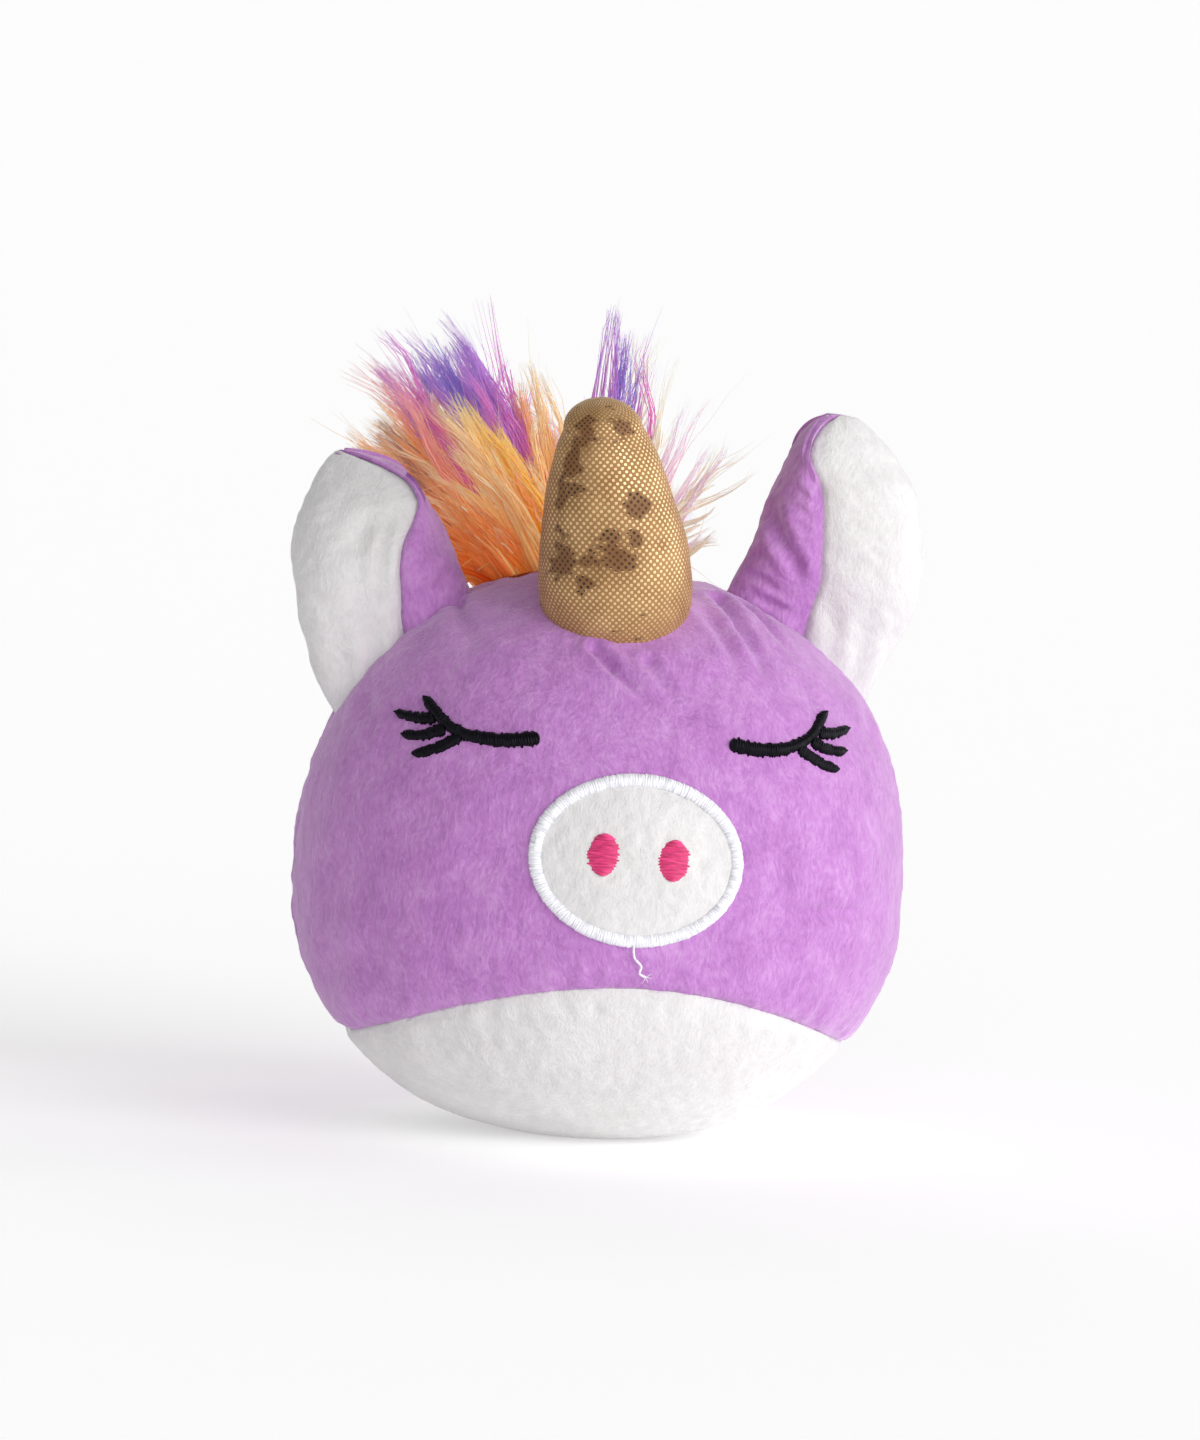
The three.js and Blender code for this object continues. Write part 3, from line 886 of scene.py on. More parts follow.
def grid_normals(rings):
    """Outward directions of rings of points."""
    along = np.gradient(rings, axis=0)
    around = np.roll(rings, -1, axis=1) - np.roll(rings, 1, axis=1)
    return unit(np.cross(around, along))


def capped_tip(rings, columns, closed):
    """Points and faces of some columns of rings, closed at the tip with a fan to a point just past
    the rings."""
    part = rings[:, columns]
    count, around = part.shape[:2]
    tip = 1.6 * rings[-1].mean(0) - 0.6 * rings[-2].mean(0)
    points = np.concatenate([part.reshape(-1, 3), [tip]])
    faces = ring_faces(count, around, closed=closed, capped=False)
    last = (count - 1) * around
    for j in range(around if closed else around - 1):
        faces.append((last + j, last + (j + 1) % around, count * around))
    return points, faces


HORN_OUTLINE = [(-9, 11.3), (-4, 12.5), (0, 13.1), (4.5, 13), (9, 12.5), (13.3, 11.7), (17.7, 10.8),
                (22, 9.7), (26.5, 8.1), (29.4, 6.7)]
HORN_LENGTH = 34.7
HORN_WIDTH_AT = outline(HORN_OUTLINE)
HORN_WEAR_AND_SHADE = [
    # angle from the front, height in mm, half-width in degrees, half-height in mm, how worn (also how
    # strongly the patch is darkened, partly as painted shade)
    (-4, 11, 14, 3, 0.6),
    (-22, 9.6, 16, 1.9, 0.5),
    (20, 18.4, 19, 1.7, 0.5),
    (-51, 9.5, 17, 3.6, 0.52),
    (13, 13.2, 9, 1.2, 0.42),
    (-29, 6.8, 10, 1.3, 0.4),
    (-47, 26, 14, 4.6, 0.52),
    (-32, 30.5, 19, 3, 0.52),
    (29, 31, 20, 2.4, 0.42),
    (-59, 19.7, 8, 4.6, 0.42),
    (38, 11.6, 6, 1.2, 0.38),
    (150, 16, 28, 3, 0.46),
    (-120, 12, 24, 4, 0.46),
]


def horn_frame():
    """The horn's root and its own axes: across, forward and along."""
    root = Vector(joints["horn_nod"]["pos_m"])
    tilt = Matrix.Rotation(math.radians(-6), 3, "Y") @ Matrix.Rotation(math.radians(15), 3, "X")
    return root, tilt


def horn_radius(height):
    """The horn's radius at a height, with a round tip."""
    body = HORN_WIDTH_AT(height)
    shoulder, width = HORN_OUTLINE[-1]
    t = np.clip((height - shoulder) / (HORN_LENGTH - shoulder), 0, 1)
    return np.where(height < shoulder, body, width * np.sqrt(np.maximum(1 - t**1.9, 0)))


def make_horn():
    root, tilt = horn_frame()
    turn = np.array(tilt)

    def place(points):
        return points * MM @ turn.T + np.array(root)

    def shape(share, angle):
        height = -8 + (HORN_LENGTH + 8) * share
        radius = horn_radius(height)
        bend = 1.9 * np.clip(height / HORN_LENGTH, 0, 1) ** 1.3
        return np.stack(
            [radius * np.sin(angle) - bend, -radius * np.cos(angle), height + 0 * radius], axis=-1
        )

    rings_count, around = ((96, 120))
    rings = grown(place, shape, rings_count, around, 1.2 * MM)
    flat = rings.reshape(-1, 3)
    angle = np.tile(np.linspace(0, 360, around, endpoint=False), rings_count)
    angle = (angle + 180) % 360 - 180
    height = ((flat - np.array(root)) @ turn)[:, 2] / MM
    seam = bell((180 - np.abs(angle)) * horn_radius(height) / 57.3, 0.9)
    creased = np.zeros(len(flat))
    for centre, rise, wide, tall, worn in HORN_WEAR_AND_SHADE:
        near = np.hypot((angle - centre) / wide, (height - rise) / tall)
        creased = np.maximum(creased, worn * bell(near, 1.0))
    relief = 0.12 * MM * lumps(flat, 15, 60) + 0.06 * MM * lumps(flat, 5, 61, 16)
    relief -= 0.6 * MM * seam + 0.3 * MM * creased * (0.5 + 0.5 * lumps(flat, 3, 62))
    relief *= np.clip((HORN_LENGTH - height) / 5, 0, 1)
    outer = rings + grid_normals(rings) * relief.reshape(rings_count, around, 1)

    points, faces = capped_tip(outer, np.arange(around), True)
    made = piece("horn_skin", points, faces, GOLD)
    made.data.attributes.new("creased", "FLOAT", "POINT").data.foreach_set(
        "value", np.append(creased, creased[-around:].mean())
    )
    lay_foil(made, angle, height, around, rings_count)
    thicken(made, 0.8 * MM)
    along = Vector(tilt @ Vector((0, 0, 1)))
    sewn, free = root - along * 2.5 * MM, root + along * 8 * MM
    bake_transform(made)
    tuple(sewn)
    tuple(free)
    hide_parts("horn_cover")

    inner = outer - grid_normals(rings) * 1.4 * MM
    points, faces = capped_tip(inner[:-3:3, ::3], np.arange(len(inner[0, ::3])), True)
    faces.append(tuple(range(len(inner[0, ::3]) - 1, -1, -1)))
    core = piece("horn_stuffing", points, faces, STUFFING)
    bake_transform(core)
    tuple(sewn)
    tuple(free)
    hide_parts("horn_filling")


def lay_foil(made, angle, height, around, count):
    """Lays the printed dots on the horn as a fan of flat cloth, so that each dot stays round."""
    grid = height.reshape(count, around)
    radius = horn_radius(grid)
    climb = np.zeros_like(grid)
    climb[1:] = np.cumsum(
        np.hypot(np.diff(grid, axis=0), np.diff(radius, axis=0)) / np.maximum(radius[1:], 1.2), axis=0
    )
    climb += (grid[0] - grid[0].mean()) / radius[0].mean()
    spread = 0.22
    reach = radius[0].mean() / spread * np.exp(-spread * climb)
    turn = np.radians(angle.reshape(count, around)) * spread
    flat = np.stack([reach * np.sin(turn), reach * np.cos(turn)], axis=-1).reshape(-1, 2) * MM
    flat = np.concatenate([flat, flat[-around:].mean(0)[None]])
    layer = made.data.uv_layers.new(name="foil")
    corners = np.array([loop.vertex_index for loop in made.data.loops])
    across = flat[corners]
    columns = corners % around
    for polygon in made.data.polygons:
        loops = list(polygon.loop_indices)
        # the column just past the seam is laid on the far side of the fan
        seam = [columns[i] for i in loops if corners[i] < count * around]
        half = around // 2
        if half in seam and half - 1 in seam:
            for i in loops:
                if columns[i] == half and corners[i] < count * around:
                    across[i] = (-flat[corners[i]][0], flat[corners[i]][1])
    layer.data.foreach_set("uv", across.astype(np.float32).ravel())


# Each outline and the front seam are (height along the ear, distance from its axis) in mm, outwards
# positive. A fold's points are (distance from the axis, height).
EARS = {
    "left": dict(
        side=1,
        offset=(-1.6, 0, -0.9),
        tilt=7.5,
        tip_back=2.5,
        outer=[(-14, 12), (-7, 13.5), (-3, 15.2), (1, 16.8), (7, 18.3), (13, 18.3), (18, 17.8), (25, 16.1),
               (29, 14.1), (32.5, 10.6), (35.8, 6.9), (38, 3), (38.6, 0.2)],
        inner=[(-14, -16), (0, -14.8), (7, -13.6), (15, -11.2), (20.4, -9.9), (28, -7.8), (32.4, -6.6),
               (35, -5.3), (37.4, -3), (38.6, 0.2)],
        seam=[(-14, -1), (2.6, -0.2), (9.3, 0.6), (14, 0), (22, -1.1), (26.7, -2.5), (29.1, -3.8),
              (31.5, -4.9), (34, -4.6), (36.3, -3.4), (37.8, -1.8), (38.6, 0.2)],
        folds=[
            dict(line=[(-9.4, 23), (-9, 19.4), (-7.4, 16.2), (-5.6, 13.9), (-3.9, 11.6), (-2.8, 9)],
                 width_mm=1.2, depth_mm=1.7),
            dict(line=[(-5.3, 29.3), (-4.4, 27), (-2.9, 25.4), (-2.2, 21)], width_mm=0.8, depth_mm=0.8),
            dict(line=[(-12.4, 8.5), (-9.9, 8.9), (-5.6, 6.8)], width_mm=0.6, depth_mm=0.7),
            dict(line=[(-10.8, 5.8), (-6, 4.5), (-2, 3.2)], width_mm=0.7, depth_mm=0.8),
            dict(line=[(-11.6, 12.3), (-10, 12.8), (-8.4, 12)], width_mm=0.6, depth_mm=0.5),
            dict(line=[(-8, 24.5), (-6, 24.8), (-3.4, 23.4)], width_mm=0.5, depth_mm=0.35),
            dict(line=[(-8, 22), (-5.4, 21.8), (-2.6, 20)], width_mm=0.5, depth_mm=0.4),
            dict(line=[(-7.6, 19), (-5, 18.9), (-2, 17.4)], width_mm=0.5, depth_mm=0.4),
            dict(line=[(-5.6, 16.5), (-3.6, 16.2), (-1.4, 14.8)], width_mm=0.5, depth_mm=0.35),
            dict(line=[(6.4, 17), (8.4, 16.6), (10.6, 15.3)], width_mm=0.7, depth_mm=0.35),
            dict(line=[(7.4, 19), (9, 18.6), (10.6, 17.6)], width_mm=0.6, depth_mm=0.3),
            dict(line=[(2, 8), (3.6, 4), (4.4, 0)], width_mm=1.4, depth_mm=0.5),
        ],
    ),
    "right": dict(
        side=-1,
        offset=(1.5, 0, -2.8),
        tilt=14,
        tip_back=11,
        outer=[(-14, 10.5), (-6.6, 13.2), (-2, 14.6), (4, 15.2), (9.3, 15.5), (15.4, 15.1), (20.4, 14.1),
               (25, 12), (29, 9.1), (32.5, 5.8), (34.6, 2.8)],
        inner=[(-14, -17), (0, -15.6), (8.6, -14), (15.7, -12.5), (20.2, -11.7), (24.3, -10.2),
               (27.9, -8.5), (30, -6.5), (32, -3.1), (33.3, -0.2), (34.6, 2.8)],
        seam=[(-14, -1), (3.9, -1.3), (6.9, -1.7), (10.7, -2.2), (14.2, -2.7), (18.3, -4.2), (21.3, -6.4),
              (24.5, -8.2), (27.9, -7.5), (30.2, -5.6), (32.5, -1.8), (34.6, 2.8)],
        folds=[
            dict(line=[(-3.2, 24), (-1.3, 19.7), (-0.1, 16.5), (0.8, 13.2), (1.2, 10.1), (0.8, 6.6)],
                 width_mm=0.8, depth_mm=1.5),
            dict(line=[(-1.4, 24.6), (2, 21.6), (4.4, 18)], width_mm=1.6, depth_mm=0.5),
            dict(line=[(-11.4, 17.6), (-9.2, 16.5), (-6.4, 16.2)], width_mm=1.4, depth_mm=0.8),
            dict(line=[(-12.6, 12), (-9, 10), (-4.6, 8.4)], width_mm=1.3, depth_mm=0.6),
            dict(line=[(13, 11), (9, 10), (5, 10.6)], width_mm=0.9, depth_mm=0.3),
            dict(line=[(3, 6), (4.4, 2), (4.6, -3)], width_mm=1.6, depth_mm=0.5),
        ],
    ),
}
EAR_HALF_DEPTH = 9
EAR_ROOT_DEPTH = 5.6


def make_ear(name, ear):
    side = ear["side"]
    low, length = ear["outer"][0][0], ear["outer"][-1][0]
    joint = joints[f"ear_{name}_flop"]
    root = np.array(joint["pos_m"]) + np.array(ear["offset"]) * MM
    tilt = math.radians(ear["tilt"])
    away = np.array([side * math.cos(tilt), 0, -math.sin(tilt)])
    along = np.array([side * math.sin(tilt), 0, math.cos(tilt)])
    outer_at, inner_at, seam_at = (outline(ear[line]) for line in ("outer", "inner", "seam"))

    def place(points):
        back = ear["tip_back"] * np.clip(points[..., 2] / length, 0, 1) ** 2.2
        return (
            root
            + points[..., 0:1] * MM * away
            + points[..., 2:3] * MM * along
            + (points[..., 1:2] + back[..., None]) * MM * np.array([0, 1, 0])
        )

    def shape(share, angle):
        height = low + (length - low) * share
        outer, inner, seam = outer_at(height), inner_at(height), seam_at(height)
        rise = np.clip(height / 16, 0, 1)
        depth = EAR_ROOT_DEPTH + (EAR_HALF_DEPTH - EAR_ROOT_DEPTH) * rise * rise * (3 - 2 * rise)
        depth = depth * np.minimum((outer - inner) / 22, 1) ** 0.8
        across, front = math.cos(angle), math.sin(angle)
        width = np.where(across > 0, outer - seam, seam - inner) * np.sign(across) * abs(across) ** 0.85
        return np.stack(
            [seam + width, -depth * np.sign(front) * abs(front) ** 0.9, height + 0 * width], axis=-1
        )

    count, around = ((84, 128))
    rings = grown(place, shape, count, around, 1.6 * MM)
    normals = grid_normals(rings) * -side
    flat = rings.reshape(-1, 3)
    local = flat - root
    own = np.stack([local @ away, local[:, 1], local @ along], axis=1)
    angle = np.tile(np.linspace(0, 360, around, endpoint=False), count)
    # the seam runs up the front at 90 degrees and down the back at 270
    from_seam = np.abs((angle % 180) - 90) / 57.3 * 11 * MM
    climb = own[:, 2]
    gathers = np.sin(climb / (1.3 * MM)) + 0.7 * np.sin(climb / (0.9 * MM) + 1)
    relief = 0.22 * MM * lumps(flat, 17, 70 + side) + 0.09 * MM * lumps(flat, 7, 72 + side)
    relief += 0.06 * MM * lumps(flat, 2.6, 75, 24)
    relief -= 0.9 * MM * bell(from_seam, 0.9 * MM)
    relief += 0.13 * MM * gathers * bell(from_seam - 2.4 * MM, 2 * MM)
    front = np.clip(np.sin(np.radians(angle)) * 4, 0, 1)
    for crease in ear["folds"]:
        relief += front * fold(own[:, [0, 2]], **crease)
    near_root = bell(climb, 7 * MM)
    relief += 0.25 * MM * near_root * np.sin(own[:, 0] / (0.9 * MM))
    shaped = rings + normals * relief.reshape(count, around, 1)

    quarter = around // 4
    halves = {
        "white": (np.arange(-quarter, quarter + 1) % around, WHITE, "plush_white"),
        "lilac": (np.arange(quarter, 3 * quarter + 1) % around, LILAC, "plush_lilac"),
    }
    for colour, (columns, material, slot) in halves.items():
        points, faces = capped_tip(shaped, columns, False)
        smooth, _ = capped_tip(rings, columns, False)
        if side > 0:
            faces = [face[::-1] for face in faces]
        made = piece(f"ear_{name}_{colour}_skin", points, faces, material, smooth)
        thicken(made, 1.4 * MM)
        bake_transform(made)
        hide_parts(f"ear_{name}_{colour}")
    inner = (shaped - normals * 2.2 * MM)[:-6:3, ::4]
    points, faces = capped_tip(inner, np.arange(inner.shape[1]), True)
    faces.append(tuple(range(inner.shape[1] - 1, -1, -1)))
    if side > 0:
        faces = [face[::-1] for face in faces]
    core = piece(f"ear_{name}_stuffing", points, faces, STUFFING)
    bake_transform(core)
    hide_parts(f"ear_{name}_filling")


# ---- mane ---------------------------------------------------------------------------------

DYES = {
    "orange": ("#F07A24", "#FA9A50", "#FBB88C"),
    "ember": ("#E04C10", "#F58A34", "#F9AC66"),
    "yellow": ("#F79A30", "#FFB84C", "#FFDC92"),
    "cream": ("#F9A854", "#FFC684", "#FFE0B8"),
    "peach": ("#F58E50", "#F8A08C", "#F5A2B0"),
    "brown": ("#DA7A44", "#BC846A", "#A08488"),
    "rust": ("#EE7430", "#F09654", "#E8A880"),
    "magenta": ("#F4887C", "#E678BC", "#CC80D6"),
    "purple": ("#E884A4", "#CC80D0", "#9474D2"),
    "blue": ("#E08CC0", "#A884DC", "#6E70CC"),
    "blush": ("#F2B8CC", "#F6D4E4", "#F4E4F0"),
    "straw": ("#F4D0B4", "#F2E0C6", "#F4ECDC"),
}
# Each tuft: the CAD lock it stands for, its roots' middle [x, y], the spread of its roots, where its tip
# ends [x, y, z], all in mm, how many hairs it has, how wide it fans, and its dyes.
TUFTS = [
    ("far_right", (-18, 12), (3, 3), (-40, 18, 109), 260, 0.08, ("ember", "orange")),
    ("far_right", (-17, 13), (4, 3), (-42, 20, 114), 280, 0.07, ("orange", "brown", "rust")),
    ("far_right", (-17, 13), (4, 4), (-41, 20, 118), 300, 0.06, ("brown", "orange")),
    ("right", (-15, 13), (4, 4), (-40, 20, 123), 320, 0.06, ("peach", "orange", "cream")),
    ("right", (-14, 13), (4, 4), (-39, 21, 130), 320, 0.05, ("peach", "magenta", "peach")),
    ("right", (-12, 14), (4, 4), (-32, 23, 133), 300, 0.06, ("purple", "blue")),
    ("right", (-11, 14), (4, 4), (-29, 23, 135), 200, 0.05, ("purple", "magenta")),
    ("mid_right", (-8, 13), (3, 3), (-25, 22, 136), 260, 0.05, ("magenta", "purple")),
    ("mid_right", (-8, 12), (4, 3), (-19, 20, 126), 200, 0.07, ("magenta", "peach")),
    ("right", (-15, 8), (4, 3), (-32, 13, 112), 380, 0.1, ("orange", "cream", "rust")),
    ("right", (-12, 7), (4, 3), (-28, 13, 123), 420, 0.07, ("yellow", "cream")),
    ("mid_right", (-9, 6), (4, 3), (-21, 12, 117), 360, 0.1, ("yellow", "cream", "orange")),
    ("mid_right", (-7, 9), (3, 3), (-13.5, 17, 129), 130, 0.05, ("orange", "cream")),
    ("mid_right", (-5, 8), (3, 3), (-10, 15, 118), 160, 0.08, ("peach", "yellow")),
    ("centre", (-3, 12), (3, 2), (1.5, 20, 139), 130, 0.04, ("blue", "purple")),
    ("centre", (-3, 12), (3, 2), (-4, 19, 130), 80, 0.1, ("magenta", "blush")),
    ("centre", (2, 12), (3, 2), (8, 20, 139), 60, 0.05, ("magenta", "straw")),
    ("centre", (3, 12), (3, 3), (12, 19, 131), 50, 0.16, ("blush", "straw")),
    ("left", (6, 13), (3, 3), (21, 19, 119), 60, 0.13, ("blush", "straw")),
    ("left", (8, 12), (3, 3), (17, 16, 106), 60, 0.18, ("blush", "straw")),
    ("back", (-11, 20), (7, 3), (-26, 44, 116), 330, 0.16, ("orange", "yellow", "peach")),
    ("back", (-3, 22), (8, 3), (-8, 50, 114), 380, 0.16, ("magenta", "orange", "purple")),
    ("back", (4, 20), (5, 3), (10, 44, 113), 220, 0.16, ("blush", "peach", "straw")),
    ("far_right", (-18, 15), (3, 5), (-32, 19, 98), 180, 0.14, ("ember", "orange")),
    # short hair between the tufts, so that the backing cloth doesn't show
    ("far_right", (-15, 13), (6, 6), (-30, 17, 101), 300, 0.3, ("ember", "rust", "orange")),
    ("mid_right", (-8, 12), (9, 8), (-14, 16, 105), 300, 0.35, ("ember", "orange")),
    ("back", (-8, 20), (11, 5), (-11, 32, 106), 420, 0.22, ("ember", "orange", "magenta")),
    ("left", (6, 13), (8, 8), (9, 18, 103), 300, 0.3, ("peach", "blush")),
    ("centre", (-2, 6), (12, 3), (-3, 9, 103), 260, 0.3, ("ember", "peach")),
]
HAIR_STEPS = 9
HAIR_SIDES = 3
HAIR_RADIUS = 0.17 * MM  # coarser than real fur, so that single hairs show
HAIRS_PER_CLUMP = 20
MANE_SEED = 7


def crown_height(x, y):
    """Height of the smooth body over a point of its upper half."""
    across = np.hypot(x / HALF_WIDTH, y / HALF_DEPTH)
    return WIDEST + (TOP - WIDEST) * (1 - across**POWER) ** (1 / POWER)


def make_tuft(rng, tuft):
    """Hairs of one tuft: their centre lines, thicknesses and colours at each step."""
    _, (x, y), (spread_x, spread_y), tip_at, count, fan, dyes = tuft
    clumps = max(5, count // HAIRS_PER_CLUMP)
    t = np.linspace(0, 1, HAIR_STEPS)[None, :, None]
    lean = np.array(tip_at) - (x, y, float(crown_height(x * MM, y * MM)) / MM)
    length = np.linalg.norm(lean)
    clump_way = unit(lean / length + rng.normal(0, fan, (clumps, 3)))
    clump_dye = rng.integers(0, len(dyes), clumps)
    clump_long = rng.uniform(0.8, 1.08, clumps)
    clump_root = rng.uniform(-1, 1, (clumps, 2))
    clump_bend = rng.normal(0, 0.09, (clumps, 3))
    of = rng.integers(0, clumps, count)
    root_xy = np.array([x, y]) * MM + (
        0.8 * clump_root[of] + 0.3 * rng.uniform(-1, 1, (count, 2))
    ) * np.array([spread_x, spread_y]) * MM
    root_z = crown_height(root_xy[:, 0], root_xy[:, 1]) + 0.2 * MM
    root = np.column_stack([root_xy, root_z])
    clump_root_3d = np.array([root[of == c].mean(0) if (of == c).any() else root[0] for c in range(clumps)])
    way = unit(clump_way[of] + rng.normal(0, 0.06, (count, 3)))
    reach = length * MM * clump_long[of] * rng.uniform(0.82, 1.04, count)
    sag = np.array([0, 0.0, -0.12]) + clump_bend[of] + rng.normal(0, 0.05, (count, 3))
    upward = np.array([0, 0, 0.35])
    rise = root[:, None] + reach[:, None, None] * (
        way[:, None] * t + (upward - sag)[:, None] * t * (1 - t) * 0.5 + sag[:, None] * t**2 * 0.35
    )
    # hairs of a clump draw together towards its tip
    tip = clump_root_3d[of] + clump_way[of] * (length * MM * clump_long[of])[:, None]
    tip += (sag * 0.35) * (length * MM)
    draw = 0.92 * t**1.5
    line = rise + (tip[:, None] - rise[:, -1:]) * draw
    # every clump waves a little, and every hair in it a little more
    cycles = np.linspace(0, 1, HAIR_STEPS)[None] * length / 26
    for size, swing, beat in ((0.7, clump_bend[of] / 0.09, 1), (0.25, rng.normal(0, 1, (count, 3)), 2)):
        phase = 2 * math.pi * (beat * cycles + (of / clumps)[:, None])
        line += size * MM * swing[:, None] * (np.sin(phase)[..., None] * t**0.7)
    loose = rng.random(count) < 0.08
    line[loose] += 3.5 * MM * rng.normal(0, 1, (loose.sum(), 1, 3)) * t**2
    thick = HAIR_RADIUS * rng.uniform(0.7, 1.3, count) * np.where(loose, 0.7, 1)
    # the matted heart of each clump is one thick strand, hidden among its hairs
    hearts = rng.permutation(count)[: 3 * clumps]
    thick[hearts] = rng.uniform(0.5, 0.9, len(hearts)) * MM
    reach_share = rng.uniform(0.5, 0.75, len(hearts))[:, None, None]
    line[hearts] = line[hearts, :1] + (line[hearts] - line[hearts, :1]) * reach_share
    colours = np.zeros((count, HAIR_STEPS, 4))
    for c, dye in enumerate(dyes):
        stops = np.array([linear(h) for h in DYES[dye]])
        mine = clump_dye[of] == c
        where = np.clip(np.linspace(0, 1, HAIR_STEPS)[None] + rng.normal(0, 0.1, (mine.sum(), 1)), 0, 1)
        for channel in range(4):
            colours[mine, :, channel] = np.interp(where, [0, 0.5, 1], stops[:, channel])
    colours[..., :3] = colours[..., :3] ** 0.9 * rng.uniform(0.86, 1.04, (count, 1, 1))
    return line, thick, np.clip(colours, 0, 1)


def make_mane():
    rng = np.random.default_rng(MANE_SEED)
    low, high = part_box("mane_backing")
    locks = {}
    for tuft in TUFTS:
        locks.setdefault(tuft[0], []).append(make_tuft(rng, tuft))
    for name, tufts in locks.items():
        line = np.concatenate([tuft[0] for tuft in tufts])
        thick = np.concatenate([tuft[1] for tuft in tufts])
        dye = np.concatenate([tuft[2] for tuft in tufts])
        count = len(line)
        steps = unit(np.gradient(line, axis=1))
        side = unit(np.cross(steps, (0.21, 0.94, 0.27)))
        up = np.cross(steps, side)
        taper = np.interp(np.linspace(0, 1, HAIR_STEPS), [0, 0.5, 1], [1, 0.8, 0.15])
        size = thick[:, None, None] * taper[None, :, None]
        corners = []
        for k in range(HAIR_SIDES):
            a = 2 * math.pi * k / HAIR_SIDES
            corners.append(line + (side * math.cos(a) + up * math.sin(a)) * size)
        points = np.stack(corners, axis=2).reshape(-1, 3)
        per_hair = HAIR_STEPS * HAIR_SIDES
        one = ring_faces(HAIR_STEPS, HAIR_SIDES)
        faces = [tuple(i + h * per_hair for i in face) for h in range(count) for face in one]
        made = piece(f"mane_{name}_hair", points, faces, FUR)
        tint = made.data.color_attributes.new("dye", "FLOAT_COLOR", "POINT")
        tint.data.foreach_set("color", np.repeat(dye, HAIR_SIDES, axis=1).astype(np.float32).ravel())
        lay_hair(made, count, per_hair)
        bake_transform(made)
        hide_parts("mane_lock_" + name)

    around, rings = 64, 10
    centre = (low + high) / 2
    points = []
    for lift in (-0.6 * MM, 0.7 * MM):
        for i in range(rings):
            share = i / (rings - 1) if lift < 0 else 1 - i / (rings - 1)
            share = max(share, 0.02)
            for k in range(around):
                a = 2 * math.pi * k / around
                x = centre.x + share * (high.x - low.x) / 2 * math.cos(a)
                y = centre.y + share * (high.y - low.y) / 2 * math.sin(a)
                points.append((x, y, float(crown_height(x, y)) + lift * (1 if share < 0.97 else 0.4)))
    patch = piece("mane_backing_cloth", points, ring_faces(2 * rings, around), FUR_BACKING)
    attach(patch, "body")
    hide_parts("mane_backing")


def lay_hair(made, count, per_hair):
    """Lays each hair flat in its own strip, so that its colours can be written to an image."""
    strips = math.ceil(math.sqrt(count))
    layer = made.data.uv_layers.new(name="OFBake")
    vertex = np.array([loop.vertex_index for loop in made.data.loops])
    hair, within = vertex // per_hair, vertex % per_hair
    step, corner = within // HAIR_SIDES, within % HAIR_SIDES
    u = (hair % strips + 0.15 + 0.35 * corner) / strips
    v = (hair // strips + 0.08 + 0.84 * step / (HAIR_STEPS - 1)) / strips
    layer.data.foreach_set("uv", np.stack([u, v], axis=1).astype(np.float32).ravel())


# ---- label --------------------------------------------------------------------------------

LABEL = dict(width=12, length=15, sewn_in=2.2, droop=48)  # mm, and degrees below level


def make_label():
    """A blank ribbon folded in two, with both ends caught in the rear seam."""
    hinge = Vector(joints["label_flap"]["pos_m"])
    droop = math.radians(LABEL["droop"])
    width, length, sewn_in = (LABEL[size] * MM for size in ("width", "length", "sewn_in"))
    half, cloth = 0.35 * MM, 0.12 * MM
    out = np.array([0, math.cos(droop), -math.sin(droop)])
    up = np.array([0, math.sin(droop), math.cos(droop)])
    run = np.linspace(0, 1, 14)
    curl = 1.1 * MM * run**2
    over = [(-sewn_in + (length + sewn_in) * t, half + c) for t, c in zip(run, curl)]
    bend = [
        (length + half * math.cos(a), over[-1][1] - half + half * math.sin(a))
        for a in np.linspace(math.pi / 2, -math.pi / 2, 7)[1:-1]
    ]
    below = [(s, h - 2 * half) for s, h in reversed(over)]
    path = np.array([*over, *bend, *below])
    steps = unit(np.gradient(path, axis=0))
    normal = np.stack([-steps[:, 1], steps[:, 0]], axis=1) * cloth / 2
    section = np.concatenate([path + normal, (path - normal)[::-1]])
    points = []
    for x in np.linspace(-width / 2, width / 2, 13):
        for s, h in section:
            points.append(np.array(hinge) + out * s + up * h + np.array([x, 0, 0]))
    made = piece("care_label_ribbon", points, ring_faces(13, len(section)), RIBBON)
    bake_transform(made)
    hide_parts("care_label")


# ---- inner cloth, floor and light ---------------------------------------------------------


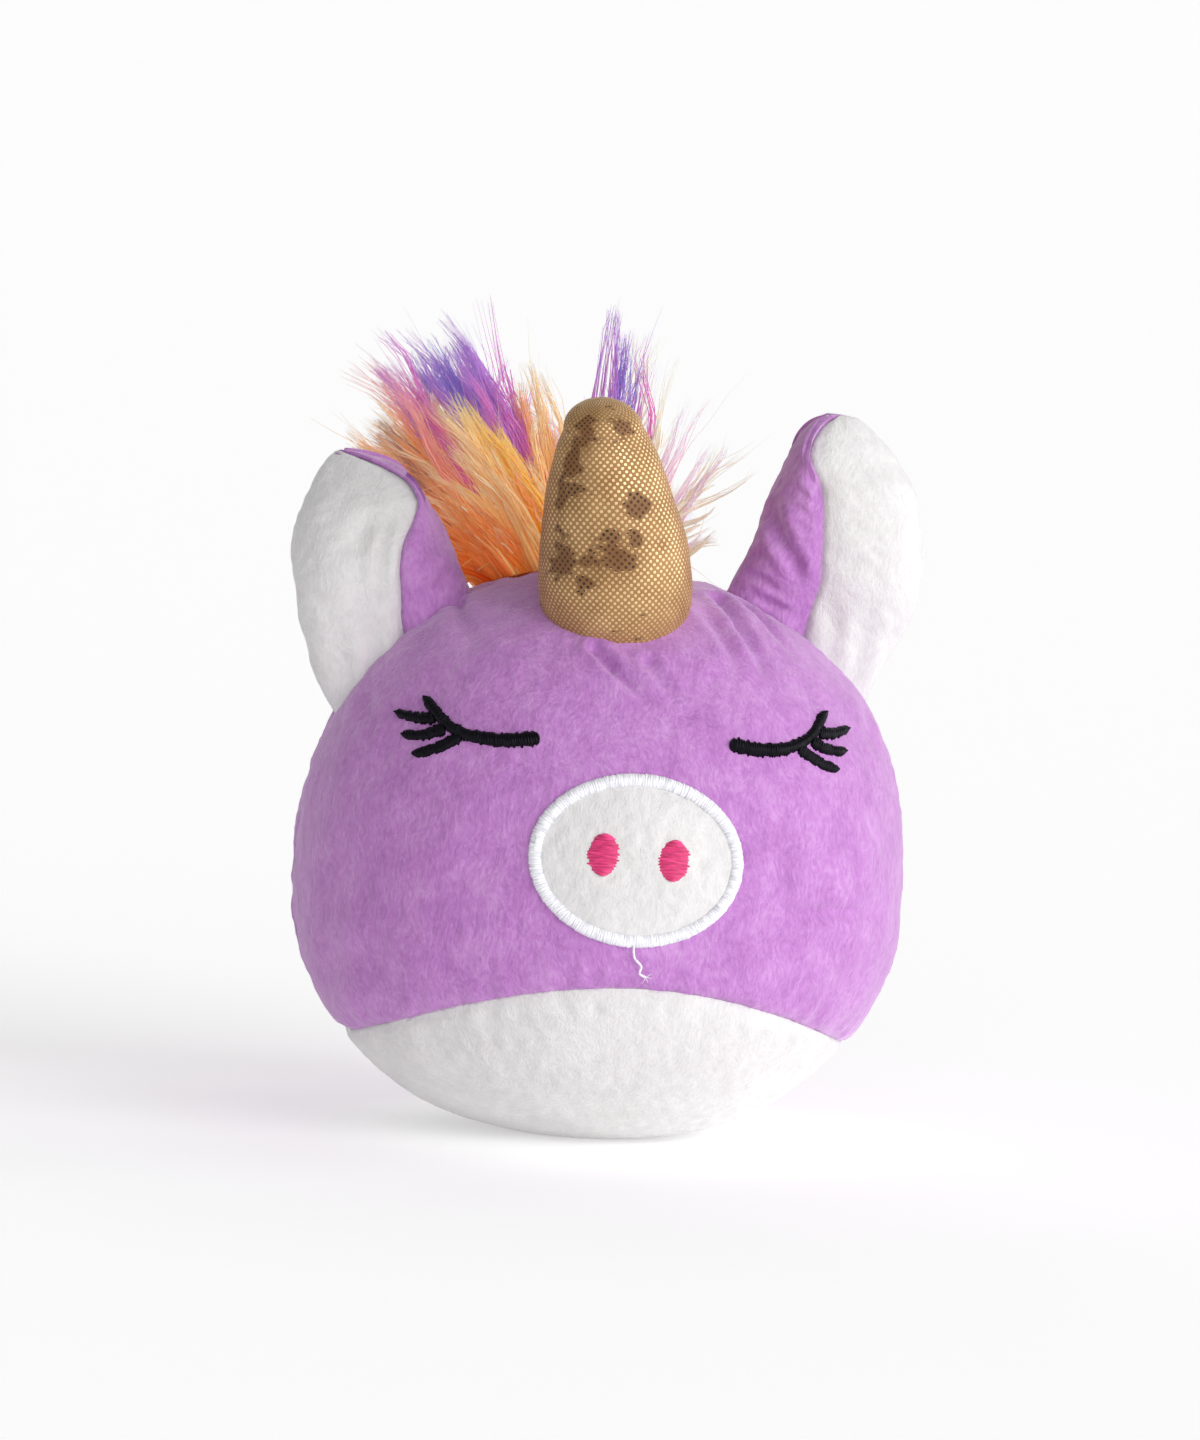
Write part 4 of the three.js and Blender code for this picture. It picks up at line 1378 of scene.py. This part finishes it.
def finish_stabilisers():
    """The stabilisers are plain cut felt, so their CAD shapes stay and only get a finish."""
    for node in ("snout_stabiliser", "eye_stabiliser_left", "eye_stabiliser_right"):
        backing = frame["nodes"][node]
        backing.data.materials.clear()
        backing.data.materials.append(NON_WOVEN)
        place = np.array([vertex.co for vertex in backing.data.vertices], np.float32).ravel()
        backing.data.attributes.new("cloth", "FLOAT_VECTOR", "POINT").data.foreach_set("vector", place)


def make_floor():
    """White paper on a light table, which keeps the toy's underside bright."""
    material, tree = blank("paper_floor")
    shader = add(
        tree,
        "BsdfPrincipled",
        {
            "Base Color": linear("#F7F7F7"),
            "Roughness": 0.9,
            "Emission Color": linear("#FFFFFF"),
            "Emission Strength": 0.27,
        },
    )
    close(tree, shader)
    reach = 40.0
    floor = piece(
        "floor",
        [(-reach, -reach, 0), (reach, -reach, 0), (reach, reach, 0), (-reach, reach, 0)],
        [(0, 1, 2, 3)],
        material,
    )


def sun(name, azimuth, elevation, strength, softness):
    """A soft far light. Azimuth 0 is in front of the toy and 90 on its left."""
    data = bpy.data.lights.new(name, "SUN")
    data.energy = strength
    data.angle = math.radians(softness)
    az, el = math.radians(azimuth), math.radians(elevation)
    way = Vector((math.sin(az) * math.cos(el), -math.cos(az) * math.cos(el), math.sin(el)))
    light = bpy.data.objects.new(name, data)
    light.matrix_world = way.to_track_quat("Z", "Y").to_matrix().to_4x4()
    bpy.context.scene.collection.objects.link(light)


def make_lights():
    """A large soft light on the toy's left, with weak ones around it, in a pale room."""
    world = bpy.data.worlds.new("studio")
    bpy.context.scene.world = world
    world.use_nodes = True
    world.node_tree.nodes["Background"].inputs["Color"].default_value = linear("#FFFFFF")
    world.node_tree.nodes["Background"].inputs["Strength"].default_value = 0.34
    sun("key", 46, 16, 1.9, 45)
    sun("rim", 100, 8, 1.35, 40)
    sun("front", 8, 10, 0.95, 60)
    sun("back", 165, 25, 0.7, 70)
    bpy.context.scene.view_settings.view_transform = "Standard"


make_camera()
body_skins = make_body()
make_snout(body_skins["face_panel"])
make_eyes(body_skins["face_panel"])
make_threads(body_skins)
make_horn()
for ear_name, ear_sizes in EARS.items():
    make_ear(ear_name, ear_sizes)
make_mane()
make_label()
finish_stabilisers()
make_floor()
make_lights()

bpy.context.view_layer.update()
